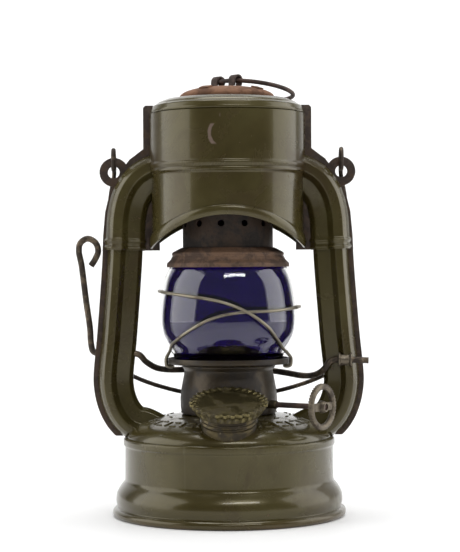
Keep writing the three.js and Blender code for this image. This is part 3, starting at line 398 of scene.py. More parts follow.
def lofted(rings, close_ends=True):
    """Corners and faces between rings of equally many points."""
    count = len(rings[0])
    corners = [tuple(p) for ring in rings for p in ring]
    faces = [
        (a * count + j, a * count + (j + 1) % count, (a + 1) * count + (j + 1) % count, (a + 1) * count + j)
        for a in range(len(rings) - 1)
        for j in range(count)
    ]
    if close_ends:
        faces.append(tuple(range(count))[::-1])
        faces.append(tuple((len(rings) - 1) * count + j for j in range(count)))
    return corners, faces


def joined(*meshes):
    corners, faces = [], []
    for some_corners, some_faces in meshes:
        faces += [tuple(i + len(corners) for i in face) for face in some_faces]
        corners += list(some_corners)
    return corners, faces


def placed(mesh, matrix):
    """The same mesh after a matrix whose translation is in millimetres."""
    corners, faces = mesh
    return [tuple(matrix @ Vector(c)) for c in corners], faces


def smooth_line(points, steps=6):
    """Points on the centripetal Catmull-Rom curve through the given points."""
    given = [np.array(p, float) for p in points]
    ends = [2 * given[0] - given[1], *given, 2 * given[-1] - given[-2]]
    line = []
    for p0, p1, p2, p3 in zip(ends, ends[1:], ends[2:], ends[3:]):
        knots = [0.0]
        for a, b in ((p0, p1), (p1, p2), (p2, p3)):
            knots.append(knots[-1] + max(np.linalg.norm(b - a), 1e-6) ** 0.5)
        t0, t1, t2, t3 = knots
        for step in range(steps):
            t = t1 + (t2 - t1) * step / steps
            a1 = (t1 - t) / (t1 - t0) * p0 + (t - t0) / (t1 - t0) * p1
            a2 = (t2 - t) / (t2 - t1) * p1 + (t - t1) / (t2 - t1) * p2
            a3 = (t3 - t) / (t3 - t2) * p2 + (t - t2) / (t3 - t2) * p3
            b1 = (t2 - t) / (t2 - t0) * a1 + (t - t0) / (t2 - t0) * a2
            b2 = (t3 - t) / (t3 - t1) * a2 + (t - t1) / (t3 - t1) * a3
            line.append((t2 - t) / (t2 - t1) * b1 + (t - t1) / (t2 - t1) * b2)
    line.append(given[-1])
    return [tuple(p) for p in line]


# %% [markdown]
# Everything made of wire on this lantern follows a path, so one Geometry Nodes tree makes it all: the path
# becomes a curve, a circle runs along it, and the result gets its material. Other trees below repeat a
# small shape round a circle, or punch holes. A modifier's inputs are set by identifier, and the evaluated
# result is copied to a plain mesh, because the finished model carries no modifiers.


# %% Geometry Nodes helpers
class Nodes:
    """A Geometry Nodes tree with named inputs, built one node at a time."""

    def __init__(self, name, inputs):
        self.tree = bpy.data.node_groups.new(name, "GeometryNodeTree")
        self.tree.interface.new_socket("Geometry", in_out="INPUT", socket_type="NodeSocketGeometry")
        self.tree.interface.new_socket("Geometry", in_out="OUTPUT", socket_type="NodeSocketGeometry")
        for label, kind in inputs.items():
            self.tree.interface.new_socket(label, in_out="INPUT", socket_type="NodeSocket" + kind)
        self.given = self.tree.nodes.new("NodeGroupInput").outputs
        self.result = self.tree.nodes.new("NodeGroupOutput").inputs["Geometry"]

    def add(self, kind, settings=None, inputs=None, output=0):
        made = self.tree.nodes.new(kind)
        for name, value in (settings or {}).items():
            setattr(made, name, value)
        for key, value in (inputs or {}).items():
            if isinstance(value, bpy.types.NodeSocket):
                self.tree.links.new(value, made.inputs[key])
            else:
                made.inputs[key].default_value = value
        return made.outputs[output]

    def close(self, geometry):
        realised = self.add("GeometryNodeRealizeInstances", inputs={"Geometry": geometry})
        coloured = self.add("GeometryNodeSetMaterial",
                            inputs={"Geometry": realised, "Material": self.given["Material"]})
        self.tree.links.new(coloured, self.result)
        return self.tree


def grown(tree, base, values):
    """The plain mesh that a tree makes from a base mesh (corners, edges, faces in millimetres)."""
    corners, edges, faces = base
    mesh = bpy.data.meshes.new(tree.name)
    mesh.from_pydata([tuple(c * MM for c in corner) for corner in corners], edges, faces)
    carrier = bpy.data.objects.new(tree.name, mesh)
    bpy.context.scene.collection.objects.link(carrier)
    modifier = carrier.modifiers.new(tree.name, "NODES")
    modifier.node_group = tree
    for item in tree.interface.items_tree:
        if item.in_out == "INPUT" and item.name in values:
            modifier[item.identifier] = values[item.name]
    evaluated = carrier.evaluated_get(bpy.context.evaluated_depsgraph_get())
    made = bpy.data.meshes.new_from_object(evaluated)
    bpy.data.objects.remove(carrier)
    return made


def geometry_from(mesh):
    """Corners in millimetres and faces of a plain mesh, to be joined with others."""
    return [tuple(v.co / MM) for v in mesh.vertices], [tuple(p.vertices) for p in mesh.polygons]


# %% [markdown]
# The first tree makes wire. Its inputs are the wire's radius, the number of sides of its section and the
# material.

# %% A tree for wire along a path
wiring = Nodes("wire_along_path", {"Wire Radius": "Float", "Sides": "Int", "Material": "Material"})
path_curve = wiring.add("GeometryNodeMeshToCurve", inputs={"Mesh": wiring.given["Geometry"]})
wire_section = wiring.add("GeometryNodeCurvePrimitiveCircle", inputs={"Resolution": wiring.given["Sides"],
                                                                     "Radius": wiring.given["Wire Radius"]})
wire_tree = wiring.close(wiring.add("GeometryNodeCurveToMesh", inputs={
    "Curve": path_curve, "Profile Curve": wire_section, "Fill Caps": True}))


def wire(name, points, diameter, material, body, node, loop=False, sides=16):
    edges = [(i, i + 1) for i in range(len(points) - 1)] + ([(len(points) - 1, 0)] if loop else [])
    mesh = grown(wire_tree, (points, edges, []), {"Wire Radius": diameter / 2 * MM, "Sides": sides,
                                                  "Material": material})
    return finished(mesh, name, body, [node], 50)


# %% [markdown]
# The second tree places copies of a small shape on a circle and turns each one to face outwards. It makes
# the raised stamping, the knob's knurls and the lid's tabs.

# %% A tree that repeats a small shape round a circle
ringing = Nodes("repeat_round_circle", {"Count": "Int", "Radius": "Float", "Height": "Float", "Turn": "Float",
                                        "Material": "Material"})
circle = ringing.add("GeometryNodeMeshCircle", inputs={"Vertices": ringing.given["Count"],
                                                       "Radius": ringing.given["Radius"]})
facing = ringing.add("FunctionNodeAlignRotationToVector", {"axis": "X"}, {
    "Vector": ringing.add("GeometryNodeInputPosition")})
ring_points = ringing.add("GeometryNodeInstanceOnPoints", inputs={
    "Points": circle, "Instance": ringing.given["Geometry"], "Rotation": facing})
turning = ringing.add("ShaderNodeCombineXYZ", inputs={"Z": ringing.given["Turn"]})
lifting = ringing.add("ShaderNodeCombineXYZ", inputs={"Z": ringing.given["Height"]})
ring_tree = ringing.close(ringing.add("GeometryNodeTransform", inputs={
    "Geometry": ring_points, "Translation": lifting, "Rotation": turning}))


def round_circle(shape, count, radius, height, turn, material):
    """Copies of a shape, each facing outwards along X, round a circle."""
    corners, faces = shape
    return geometry_from(grown(ring_tree, (corners, [], faces), {
        "Count": count, "Radius": radius * MM, "Height": height * MM, "Turn": math.radians(turn),
        "Material": material}))


# %% [markdown]
# The third tree cuts a row of round holes with a boolean node. The holes point outwards through an upright
# wall, or straight down through a plate.

# %% A tree that punches round holes through a wall
punching = Nodes("punched_wall", {"Holes": "Int", "Circle Radius": "Float", "Hole Radius": "Float",
                                  "Depth": "Float", "Height": "Float", "Turn": "Float", "Radial": "Bool",
                                  "Material": "Material"})
punch_circle = punching.add("GeometryNodeMeshCircle", inputs={"Vertices": punching.given["Holes"],
                                                              "Radius": punching.given["Circle Radius"]})
punch = punching.add("GeometryNodeMeshCylinder", inputs={"Vertices": 20,
                                                         "Radius": punching.given["Hole Radius"],
                                                         "Depth": punching.given["Depth"]})
outward = punching.add("FunctionNodeAlignRotationToVector", {"axis": "Z"}, {
    "Vector": punching.add("GeometryNodeInputPosition"), "Factor": punching.add(
        "ShaderNodeMath", {"operation": "MULTIPLY"}, {0: punching.given["Radial"], 1: 1.0})})
punches = punching.add("GeometryNodeInstanceOnPoints", inputs={
    "Points": punch_circle, "Instance": punch, "Rotation": outward})
punches = punching.add("GeometryNodeTransform", inputs={
    "Geometry": punches,
    "Translation": punching.add("ShaderNodeCombineXYZ", inputs={"Z": punching.given["Height"]}),
    "Rotation": punching.add("ShaderNodeCombineXYZ", inputs={"Z": punching.given["Turn"]})})
punch_tree = punching.close(punching.add("GeometryNodeMeshBoolean",
                                         {"operation": "DIFFERENCE", "solver": "EXACT"}, {
    "Mesh 1": punching.given["Geometry"],
    "Mesh 2": punching.add("GeometryNodeRealizeInstances", inputs={"Geometry": punches})}))
print("trees:", [t.name for t in bpy.data.node_groups])

# %% [markdown]
# The tank stands on a rolled foot. Above it the wall swells out, curves in and runs straight up to a bead
# that is folded over the dome. The dome is one drawn sheet, highest round the burner.

# %% Tank
FOOT_OUT = 6.8  # rolled foot beyond the wall
foot_radius = extent("tank_shell", 0)[1]
wall_radius = foot_radius - FOOT_OUT
shell_line = [
    (foot_radius - 3.5, 0.0, 0.3), (foot_radius - 1.2, 0.0, 1.0), (foot_radius, 1.3, 1.0),
    (foot_radius, 3.2, 1.2),
    (foot_radius - 1.3, 4.5, 0.9), (foot_radius - 2.6, 4.9, 0.8), (foot_radius - 1.7, 8.6, 3.0),
    (foot_radius - 2.1, 12.6, 3.0), (wall_radius + 2.7, 16.2, 2.0), (wall_radius + 0.1, 19.2, 1.3),
    (wall_radius, 30.0, 4.0), (wall_radius, wall_top - 5.0, 0.6), (wall_radius + 0.9, wall_top - 3.9, 0.9),
    (wall_radius + 0.9, wall_top - 0.9, 0.9), (wall_radius, wall_top, 0.5),
    (wall_radius - 1.5, wall_top, 0.3),
    (wall_radius - 1.5, 18.4, 2.0), (foot_radius - 4.4, 11.6, 3.0), (foot_radius - 4.2, 4.4, 1.0),
]
piece("tank_wall", *turned(rounded(shell_line, 0.6, 5), 160), enamel, "frame", "tank_shell",
      slot="olive_paint")

HOLE_RADIUS = 18.0  # burner's hole in the dome
dome_reach = wall_radius - 1.2 - HOLE_RADIUS - 1
dome_rise = crown - wall_top + 0.8


def dome_height(radius):
    across = min(max((radius - HOLE_RADIUS - 1) / dome_reach, 0), 1)
    return crown - dome_rise + dome_rise * math.sqrt(1 - across * across)


bends = [math.sin(math.pi / 2 * i / 18) for i in range(19)]
dome_line = [(wall_radius - 1.2, wall_top - 2.6)] + [
    (HOLE_RADIUS + 1 + dome_reach * s, dome_height(HOLE_RADIUS + 1 + dome_reach * s)) for s in reversed(bends)
] + [(HOLE_RADIUS, crown)]
dome_mesh = turned(sheet_profile(dome_line, 0.9), 160)

# %% [markdown]
# The real dome carries raised stamping all round. It is drawn here as a plain ring of raised bars and
# dots, which says nothing, repeated round the dome by Geometry Nodes and sunk a little into the sheet.


# %% Raised stamping on the dome
def pad(length, width, height, tilt):
    """A low rounded bar that lies across X, tilted to lie on the dome."""
    outline = rounded([(-width / 2, -length / 2), (width / 2, -length / 2), (width / 2, length / 2),
                       (-width / 2, length / 2)], width * 0.45, 3)
    rings = [[(x * s, y * (1 - (1 - s) * width / length), z) for x, y in outline]
             for s, z in ((1.0, -0.6), (1.0, height * 0.45), (0.86, height * 0.85), (0.6, height))]
    return placed(lofted(rings), Matrix.Rotation(tilt, 4, "Y"))


def on_dome(radius, length, width, count, turn):
    slope = math.atan2(dome_height(radius - 1) - dome_height(radius + 1), 2)
    return round_circle(pad(length, width, 0.55, slope), count, radius, dome_height(radius) - 0.05, turn,
                        enamel)


stamping = [on_dome(43, 2.6, 6.0, 26, 0), on_dome(45.4, 4.6, 1.1, 26, 360 / 52),
            on_dome(40.6, 4.2, 1.1, 26, 360 / 52), on_dome(33.5, 3.6, 1.0, 18, 0)]
piece("tank_dome_top", *joined(dome_mesh, *stamping), enamel, "frame", "tank_dome", slot="olive_paint")

# %% [markdown]
# The filler leans to the front. Its neck has a rolled thread and its cap flares to a fluted rim, like a
# bottle's crown cork. The flutes are a wave round the skirt that grows towards the rim, made by moving
# the points of a turned cap in a Geometry Nodes tree, so their number and depth are plain inputs.

# %% Filler neck and cap
FILLER_Y, FILLER_Z, FILLER_TILT = -40.7, 47.957, 18
filler = Matrix.Translation((0, FILLER_Y, FILLER_Z)) @ Matrix.Rotation(math.radians(FILLER_TILT), 4, "X")
NECK_RADIUS, CAP_RADIUS, CAP_TOP = 15.2, 20.9, 18.7
FLUTES, FLUTE_DEPTH = 30, 0.8
thread = [(NECK_RADIUS - (0 if i % 2 else 0.9), 6.5 + 1.15 * i, 0.5) for i in range(7)]
neck_line = [(NECK_RADIUS - 1.8, 0.0, 0.1), (NECK_RADIUS - 0.6, 0.0, 0.1), (NECK_RADIUS - 0.6, 5.0, 0.5),
             *thread, (NECK_RADIUS - 0.9, 15.0, 0.3), (NECK_RADIUS - 1.8, 15.0, 0.3)]
piece("filler_neck_thread", *placed(turned(rounded(neck_line, 0.4), 96), filler), gunmetal, "frame",
      "filler_neck", slot="worn_gunmetal")

fluting = Nodes("fluted_skirt", {"Flutes": "Int", "Depth": "Float", "Low": "Float", "High": "Float",
                                 "Material": "Material"})
spot = fluting.add("GeometryNodeInputPosition")
split = fluting.tree.nodes.new("ShaderNodeSeparateXYZ")
fluting.tree.links.new(spot, split.inputs[0])


def sum_node(operation, *values):
    return fluting.add("ShaderNodeMath", {"operation": operation}, dict(enumerate(values)))


angle = sum_node("ARCTAN2", split.outputs["Y"], split.outputs["X"])
wave = sum_node("COSINE", sum_node("MULTIPLY", angle, fluting.given["Flutes"]))
rise = fluting.add("ShaderNodeMapRange", {"interpolation_type": "SMOOTHSTEP"}, {
    "Value": split.outputs["Z"], "From Min": fluting.given["Low"], "From Max": fluting.given["High"]})
flat = fluting.add("ShaderNodeVectorMath", {"operation": "MULTIPLY"}, {0: spot, 1: (1, 1, 0)})
outwards = fluting.add("ShaderNodeVectorMath", {"operation": "NORMALIZE"}, {0: flat})
rim_only = sum_node("GREATER_THAN", fluting.add("ShaderNodeVectorMath", {"operation": "LENGTH"}, {0: flat},
                                                1),
                    (NECK_RADIUS + 1.1) * MM)
amount = sum_node("MULTIPLY", sum_node("MULTIPLY", sum_node("SUBTRACT", wave, 1.0), rise),
                  sum_node("MULTIPLY", fluting.given["Depth"], rim_only))
shift = fluting.add("ShaderNodeVectorMath", {"operation": "SCALE"}, {0: outwards, "Scale": amount})
flute_tree = fluting.close(fluting.add("GeometryNodeSetPosition", inputs={
    "Geometry": fluting.given["Geometry"], "Offset": shift}))

cap_bottom = CAP_TOP - 5.8
cap_line = [
    (0.0, CAP_TOP - 0.75, 0.1), (6.0, CAP_TOP - 0.95, 3.0), (12.0, CAP_TOP - 0.7, 3.0),
    (15.6, CAP_TOP - 0.95, 1.5), (CAP_RADIUS - 2.6, CAP_TOP - 0.7, 0.6), (CAP_RADIUS - 1.5, CAP_TOP, 0.7),
    (CAP_RADIUS, CAP_TOP - 0.1, 0.5),
    (CAP_RADIUS, CAP_TOP - 1.3, 0.6), (CAP_RADIUS - 1.6, CAP_TOP - 3.0, 1.0), (17.5, cap_bottom, 0.4),
    (15.7, cap_bottom, 0.3), (15.7, CAP_TOP - 2.3, 0.4), (0.0, CAP_TOP - 1.7, 0.1),
]
cap_profile = rounded(cap_line, 0.5, 4, closed=False)
cap_corners, cap_faces = turned(cap_profile, FLUTES * 12)
cap_mesh = grown(flute_tree, (cap_corners, [], cap_faces), {
    "Flutes": FLUTES, "Depth": FLUTE_DEPTH * MM, "Low": cap_bottom * MM, "High": (CAP_TOP - 2.6) * MM,
    "Material": cap_metal})
cap_mesh.transform(Matrix.Translation(filler.translation * MM) @ filler.to_3x3().to_4x4())
finished(cap_mesh, "filler_cap_fluted", "cap", ["filler_cap"], 40)

# %% [markdown]
# The burner drum rises from the dome and draws in under the globe plate.

# %% Burner drum
drum_line = [(25.9, drum_low), (26.5, drum_low + 3.5), (26.6, drum_low + 8), (26.2, drum_low + 12.5),
             (25.4, drum_low + 17), (24.6, drum_low + 21), (24.3, drum_top - 2.8), (25.3, drum_top - 1.4),
             (25.6, drum_top - 0.7), (25.5, drum_top)]
piece("burner_drum_wall", *turned(rounded(sheet_profile(drum_line, 0.9), 0.8, 3), 128), sooty_metal, "frame",
      "burner_drum", slot="sooty_metal")

# %% [markdown]
# The shaft of the wick leaves the drum through a short sleeve, and carries a ring-shaped knob with a bar
# across it. All three are drawn upright and then laid along the shaft.

# %% Wick shaft, its sleeve and the knob
burner_turn = Matrix.Rotation(math.radians(-35), 4, "Z")
SHAFT_Y, SHAFT_Z = -3.65, 61.7
along_shaft = burner_turn @ Matrix.Translation((0, SHAFT_Y, SHAFT_Z)) @ Matrix.Rotation(math.pi / 2, 4, "Y")


def rounded_rod(radius, start, end, facets=32, edge=0.3):
    line = rounded([(0.0, start), (radius, start), (radius, end), (0.0, end)], edge, 3, closed=False)
    return turned(line, facets)


shaft = joined(rounded_rod(1.1, -5.7, 5.7), rounded_rod(1.5, 5.7, 64.7))
piece("wick_shaft_rod", *placed(shaft, along_shaft), dark_oxide, "wick_drive", "wick_shaft", slot="dark_wire")
sleeve_profile = rounded([(1.8, 21.8), (2.3, 21.8), (2.3, 33.4), (1.8, 34.4)], 0.25, 2)
piece("shaft_sleeve_tube", *placed(turned(sleeve_profile, 32), along_shaft), gunmetal, "frame",
      "shaft_sleeve", slot="worn_gunmetal")

KNOB_PLACE, KNOB_RADIUS = 62.7, 12.35
knob_ring = turned(rounded([(9.1, -0.9), (10.7, -1.6), (12.1, -1.1), (12.1, 1.1), (10.7, 1.6), (9.1, 0.9)],
                           0.6, 3), 96)
knurl = lofted([[(x, y, z) for x, y in rounded([(-0.5, -0.55), (0.24, -0.3), (0.24, 0.3), (-0.5, 0.55)],
                                               0.15, 2)]
                for z in (-1.15, 1.15)])
knurls = round_circle(knurl, 44, KNOB_RADIUS - 0.24, 0, 0, knob_metal)
bar = lofted([[(x, y, z) for x, y in rounded([(-w, -10.4), (w, -10.4), (w, 10.4), (-w, 10.4)], 0.5, 3)]
              for w, z in ((1.9, -0.7), (2.2, -0.4), (2.2, 0.4), (1.9, 0.7))])
hub = turned(rounded([(1.7, -0.8), (3.4, -0.8), (3.3, 0.6), (2.5, 2.8), (1.7, 2.8)], 0.4, 3), 32)
knob = placed(joined(knob_ring, knurls, bar, hub), Matrix.Translation((0, 0, KNOB_PLACE)))
piece("wick_knob_ring", *placed(knob, along_shaft), knob_metal, "wick_drive", "wick_knob", slot="bare_steel")

# %% [markdown]
# The globe sits in a pan that lifts with it. The wall of the glass is 2 mm thick: the outer face is clear
# glass and the inner face is the blue layer, both in one closed mesh.

# %% Globe plate and globe
plate_line = rounded([
    (24.0, plate_low, 0.2), (32.7, plate_low, 0.5), (33.3, plate_low + 0.6, 0.5), (33.3, plate_top, 0.2),
    (32.4, plate_top, 0.2), (32.4, plate_low + 1.0, 0.3), (24.0, plate_low + 1.0, 0.2)], 0.3, 2)
plate_corners, plate_faces = turned(plate_line, 96)
plate_mesh = grown(punch_tree, (plate_corners, [], plate_faces), {
    "Holes": 12, "Circle Radius": 25.8 * MM, "Hole Radius": 0.9 * MM, "Depth": 6 * MM,
    "Height": (plate_low + 0.5) * MM, "Turn": math.radians(15), "Radial": False, "Material": sooty_metal})
finished(plate_mesh, "globe_pan", "carriage", ["globe_plate"], 30)

GLASS = 2.0
globe_height = globe_top - globe_low
FOOT_R, BELLY_R, TOP_R = 29.0, 38.3, 31.0


def lerp(a, b, t):
    return a + (b - a) * t


def ease(value, low, high):
    """0 below low, 1 above high, and smooth between them."""
    t = min(max((value - low) / (high - low), 0), 1)
    return t * t * (3 - 2 * t)


globe_marks = [(FOOT_R, 0), (FOOT_R + 0.6, 0.04), (lerp(FOOT_R, BELLY_R, 0.36), 0.125),
               (lerp(FOOT_R, BELLY_R, 0.7), 0.215), (lerp(FOOT_R, BELLY_R, 0.93), 0.31), (BELLY_R, 0.46),
               (lerp(BELLY_R, TOP_R, 0.13), 0.655), (lerp(BELLY_R, TOP_R, 0.43), 0.86),
               (lerp(BELLY_R, TOP_R, 0.8), 0.97), (TOP_R, 1)]
globe_line = smooth_line([(r, 0, share * globe_height) for r, share in globe_marks], 6)
outer_line = [(r, globe_low + z) for r, _, z in globe_line]


def globe_radius(height):
    return float(np.interp(height, [z for _, _, z in globe_line], [r for r, _, _ in globe_line]))


outer_fine = rounded(outer_line, 0.5, 1, closed=False)
inner_line = [(r - GLASS, z) for r, z in outer_fine][::-1]
globe_corners, globe_faces = turned(outer_fine + inner_line, 128)
globe_mesh = piece("globe_glass", globe_corners, globe_faces, clear_glass, "carriage", "globe",
                   slot="blue_glass", crease=60)
globe_mesh.data.materials.append(blue_glass)
for face in globe_mesh.data.polygons:
    middle = face.center / MM
    if math.hypot(middle.x, middle.y) < globe_radius(middle.z - globe_low) - GLASS / 2:
        face.material_index = 1

# %% [markdown]
# Two guard wires cross in front of the globe. Each is hooked under the plate on one side, climbs round the
# glass and is hooked again, and they stand apart where they cross. Their course is worked out from the
# globe's own outline, so they always clear the glass.

# %% Guard wires
GUARD_WIRE, CROSSING = 1.7, 2.1
right_rise = [(18, 0.07), (44, 0.228), (58, 0.362), (70, 0.478), (82, 0.569), (97, 0.64), (116, 0.682),
              (137, 0.707), (158, 0.726), (180, 0.735)]
left_rise = [(18, 0.12), (45, 0.257), (62, 0.368), (76, 0.458), (90, 0.508), (106, 0.529), (124, 0.535),
             (142, 0.548), (160, 0.56), (180, 0.567)]


def guard_path(turn, rise, lift):
    clear = GUARD_WIRE / 2 + 0.3
    plate_radius = 33.3
    half = [(a, s) for a, s, _ in smooth_line([(a, s * 100, 0) for a, s in rise], 4)]
    both = half + [(360 - a, s) for a, s in reversed(half[:-1])]

    def at(a, radius, z):
        return (radius * math.cos(math.radians(a + turn)), radius * math.sin(math.radians(a + turn)), z)

    def hook(a):
        beside = plate_radius + clear + 0.25
        under = plate_low - clear - 0.1
        return [at(a, 30.6, under), at(a, plate_radius - 0.6, under - 0.2), at(a, beside - 0.3, under + 0.5),
                at(a, beside, plate_low + 0.8), at(a, beside, plate_low + 3)]

    around = []
    for a, share in both:
        height = share / 100 * globe_height
        hug = max(globe_radius(height) + clear, plate_radius + clear if height < 6.2 else 0)
        stand_off = lift * ease(-math.cos(math.radians(2 * a)), 0.1, 0.6)
        around.append(at(a, hug + 0.15 + stand_off, globe_low + height))
    return smooth_line([*hook(10), *around[::2], *hook(350)[::-1]], 4)


wire("guard_right", guard_path(0, right_rise, CROSSING), GUARD_WIRE, guard_metal, "carriage",
     "guard_wire_right")
wire("guard_left", guard_path(180, left_rise, 0), GUARD_WIRE, guard_metal, "carriage", "guard_wire_left")

# %% [markdown]
# The hood caps the globe and carries the chimney, a plain tube with a row of air holes, which slides in
# the canopy. A coil spring above its seat presses hood, globe and plate down.

# %% Hood, chimney and spring
hood_line = [(33.6, hood_low - 1.3), (33.6, hood_low + 0.9), (32.6, hood_low + 1.8), (31.5, hood_low + 2.9),
             (31.0, hood_low + 4.0), (30.4, hood_low + 4.9), (30.9, hood_low + 5.8), (30.5, hood_low + 6.8),
             (28.6, hood_low + 7.8), (26.6, hood_low + 8.9), (25.2, hood_top - 0.2)]
piece("hood_ring", *turned(rounded(sheet_profile(hood_line, 0.8), 0.6, 3), 128), rusty_sheet, "hood",
      "globe_hood", slot="rusty_steel")

CHIMNEY_RADIUS = extent("chimney_tube", 0)[1]
wall = rounded([(CHIMNEY_RADIUS, chimney_low), (CHIMNEY_RADIUS, chimney_low + 20),
                (CHIMNEY_RADIUS, chimney_top),
                (CHIMNEY_RADIUS - 0.9, chimney_top), (CHIMNEY_RADIUS - 0.9, chimney_low)], 0.2, 2)
wall_corners, wall_faces = turned(wall, 120)
chimney_mesh = grown(punch_tree, (wall_corners, [], wall_faces), {
    "Holes": 12, "Circle Radius": CHIMNEY_RADIUS * MM, "Hole Radius": 1.8 * MM, "Depth": 6 * MM,
    "Height": (hood_top + 12.6) * MM, "Turn": math.radians(-90 - 8.4), "Radial": True,
    "Material": chimney_metal})
finished(chimney_mesh, "chimney_wall", "hood", ["chimney_tube"], 30)

spring_low, spring_high = extent("hood_spring")
SPRING_TURNS, SPRING_RADIUS, SPRING_WIRE = 4, 28.6, 1.8
coil = []
for i in range(SPRING_TURNS * 40 + 1):
    share = i / (SPRING_TURNS * 40)
    t = (share + 0.06) / 1.12
    climb = t * t * (3 - 2 * t)
    turn = share * SPRING_TURNS * 2 * math.pi
    coil.append((SPRING_RADIUS * math.cos(turn), SPRING_RADIUS * math.sin(turn),
                 lerp(spring_low + SPRING_WIRE / 2, spring_high - SPRING_WIRE / 2, climb)))
hood_coil = wire("hood_coil", coil, SPRING_WIRE, wire_metal, None, "hood_spring", sides=10)
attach(hood_coil, "frame")
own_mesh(hood_coil)

# %% [markdown]
# The canopy's wall is a grid of points: columns round the axis, and rows from the arch's edge up to the
# top. A short function gives each point's distance from the axis, with the bead, and with the rolled hem
# that follows the arch.

# %% Canopy
ARCH_RADIUS, ARCH_HALF = 58.0, 42.0
arch_centre = canopy_low - math.sqrt(ARCH_RADIUS**2 - ARCH_HALF**2)
UPPER_RADIUS = 42.6
LOWER_RADIUS = UPPER_RADIUS - 0.9
bead_low, bead_high = canopy_low + 40.5, canopy_low + 47.5
HALF_GAP = 0.15  # between the two halves
SHEET = 0.9


def wall_out(x, z):
    """Radius of the canopy's outer face at a height, with its bead and the hem round the arch."""
    upper = lerp(LOWER_RADIUS, UPPER_RADIUS, ease(z, bead_high - 2.2, bead_high))
    bead = 1.5 * ease(z, bead_low, bead_low + 1.8) * (1 - ease(z, bead_high - 1.8, bead_high))
    groove = -0.55 * ease(z, bead_low + 2.2, bead_low + 3.4) * (1 - ease(z, bead_high - 3.6, bead_high - 2.4))
    from_arch = math.hypot(x, z - arch_centre) - ARCH_RADIUS
    hem = 1.45 * math.sqrt(max(0, 1 - ((from_arch - 2.5) / 2.9) ** 2))
    return upper + bead + groove + hem * (1 - ease(z, bead_low - 4, bead_low - 1))


def canopy_wall(side):
    """One half of the wall, closed: side -1 is the front, 1 the back."""
    edge = math.asin(HALF_GAP / LOWER_RADIUS)
    columns = 96
    angles = [lerp(edge, math.pi - edge, i / columns) for i in range(columns + 1)]
    outer, inner = [], []
    for a in angles:
        x = LOWER_RADIUS * math.cos(a)
        foot = max(canopy_low, arch_centre + math.sqrt(ARCH_RADIUS**2 - x * x))
        slant = math.sqrt(ARCH_RADIUS**2 - x * x) / ARCH_RADIUS
        rises = [foot + d / slant for d in (0, 0.4, 0.9, 1.6, 2.4, 3.2, 3.9, 4.5, 4.9, 5.2, 5.4, 5.9)]
        rises += [lerp(rises[-1], bead_low - 0.4, i / 6) for i in range(1, 7)]
        rises += [bead_low + 7.4 * i / 18 for i in range(19)]
        rises += [lerp(bead_high + 0.4, top_joint, i / 8) for i in range(1, 9)]
        for line, inset in ((outer, 0.0), (inner, SHEET)):
            line.append([(max(wall_out(x, z) - inset, 1) * math.cos(a),
                          side * max(wall_out(x, z) - inset, 1) * math.sin(a), z)
                         for z in rises])
    rings = [list(o) + list(reversed(i)) for o, i in zip(outer, inner)]
    return lofted(rings)


# %% [markdown]
# The air tubes have a flat-sided section, rounder on its outer half. The canopy's two shoulders, which the
# tubes enter, use the same section a little larger, carried along a curve of their own.

# %% Section of the air tubes and of the shoulders round them
TUBE_WIDTH, TUBE_DEPTH = 19.0, 18.4


def tube_half(grow):
    """Half the section, from the outer edge to the inner: depth towards the front, and place across."""
    w, d = TUBE_WIDTH / 2, TUBE_DEPTH / 2
    half = [(d * 0.3, w), (d * 0.7, w - 1.6), (d, w - 3.6), (d, w - 7.4), (d * 0.56, w - 10),
            (d * 0.4, 2 - w), (d * 0.1, -w)]
    moved = []
    for i, point in enumerate(half):
        before = half[i - 1] if i else (-half[0][0], half[0][1])
        after = half[i + 1] if i + 1 < len(half) else (-half[-1][0], half[-1][1])
        normals = []
        for a, b in ((before, point), (point, after)):
            length = math.hypot(b[0] - a[0], b[1] - a[1])
            normals.append(((a[1] - b[1]) / length, (b[0] - a[0]) / length))
        (n0, n1), (m0, m1) = normals
        share = grow / (1 + n0 * m0 + n1 * m1)
        moved.append((point[0] - (-(n0 + m0)) * share, point[1] + (n1 + m1) * share))
    return moved


def directions(line):
    """The outward direction, in the XZ plane, at each point of a centre line."""
    made = []
    for i in range(len(line)):
        a, b = line[max(i - 1, 0)], line[min(i + 1, len(line) - 1)]
        length = math.hypot(b[0] - a[0], b[2] - a[2])
        made.append(((b[2] - a[2]) / length, 0, -(b[0] - a[0]) / length))
    return made


def swept(line, section_at):
    """A section of (depth, across) points carried along a centre line in the XZ plane."""
    rings = []
    for i, (point, out) in enumerate(zip(line, directions(line))):
        rings.append([(point[0] + w * out[0], d, point[2] + w * out[2]) for d, w in section_at(i, point)])
    return lofted(rings)


def mirror_x(mesh):
    corners, faces = mesh
    return [(-x, y, z) for x, y, z in corners], faces


TUBE_X = 56.4  # centre of a tube where it enters the canopy
shoulder_line = smooth_line([
    (TUBE_X, 0, canopy_low - 0.3), (TUBE_X - 0.3, 0, canopy_low + 8), (TUBE_X - 1.2, 0, canopy_low + 19.5),
    (TUBE_X - 3.8, 0, canopy_low + 29), (TUBE_X - 8.8, 0, canopy_low + 36.5),
    (TUBE_X - 16, 0, canopy_low + 41), (TUBE_X - 24, 0, canopy_low + 42.5)], 8)


def collar_grow(z):
    """How far the shoulder stands out from the tube: a double bead at its foot."""
    above = z - canopy_low
    beads = 0.85 * math.exp(-(((above - 1.1) / 1.0) ** 2)) + 0.85 * math.exp(-(((above - 4.7) / 1.1) ** 2))
    return 1.2 + beads


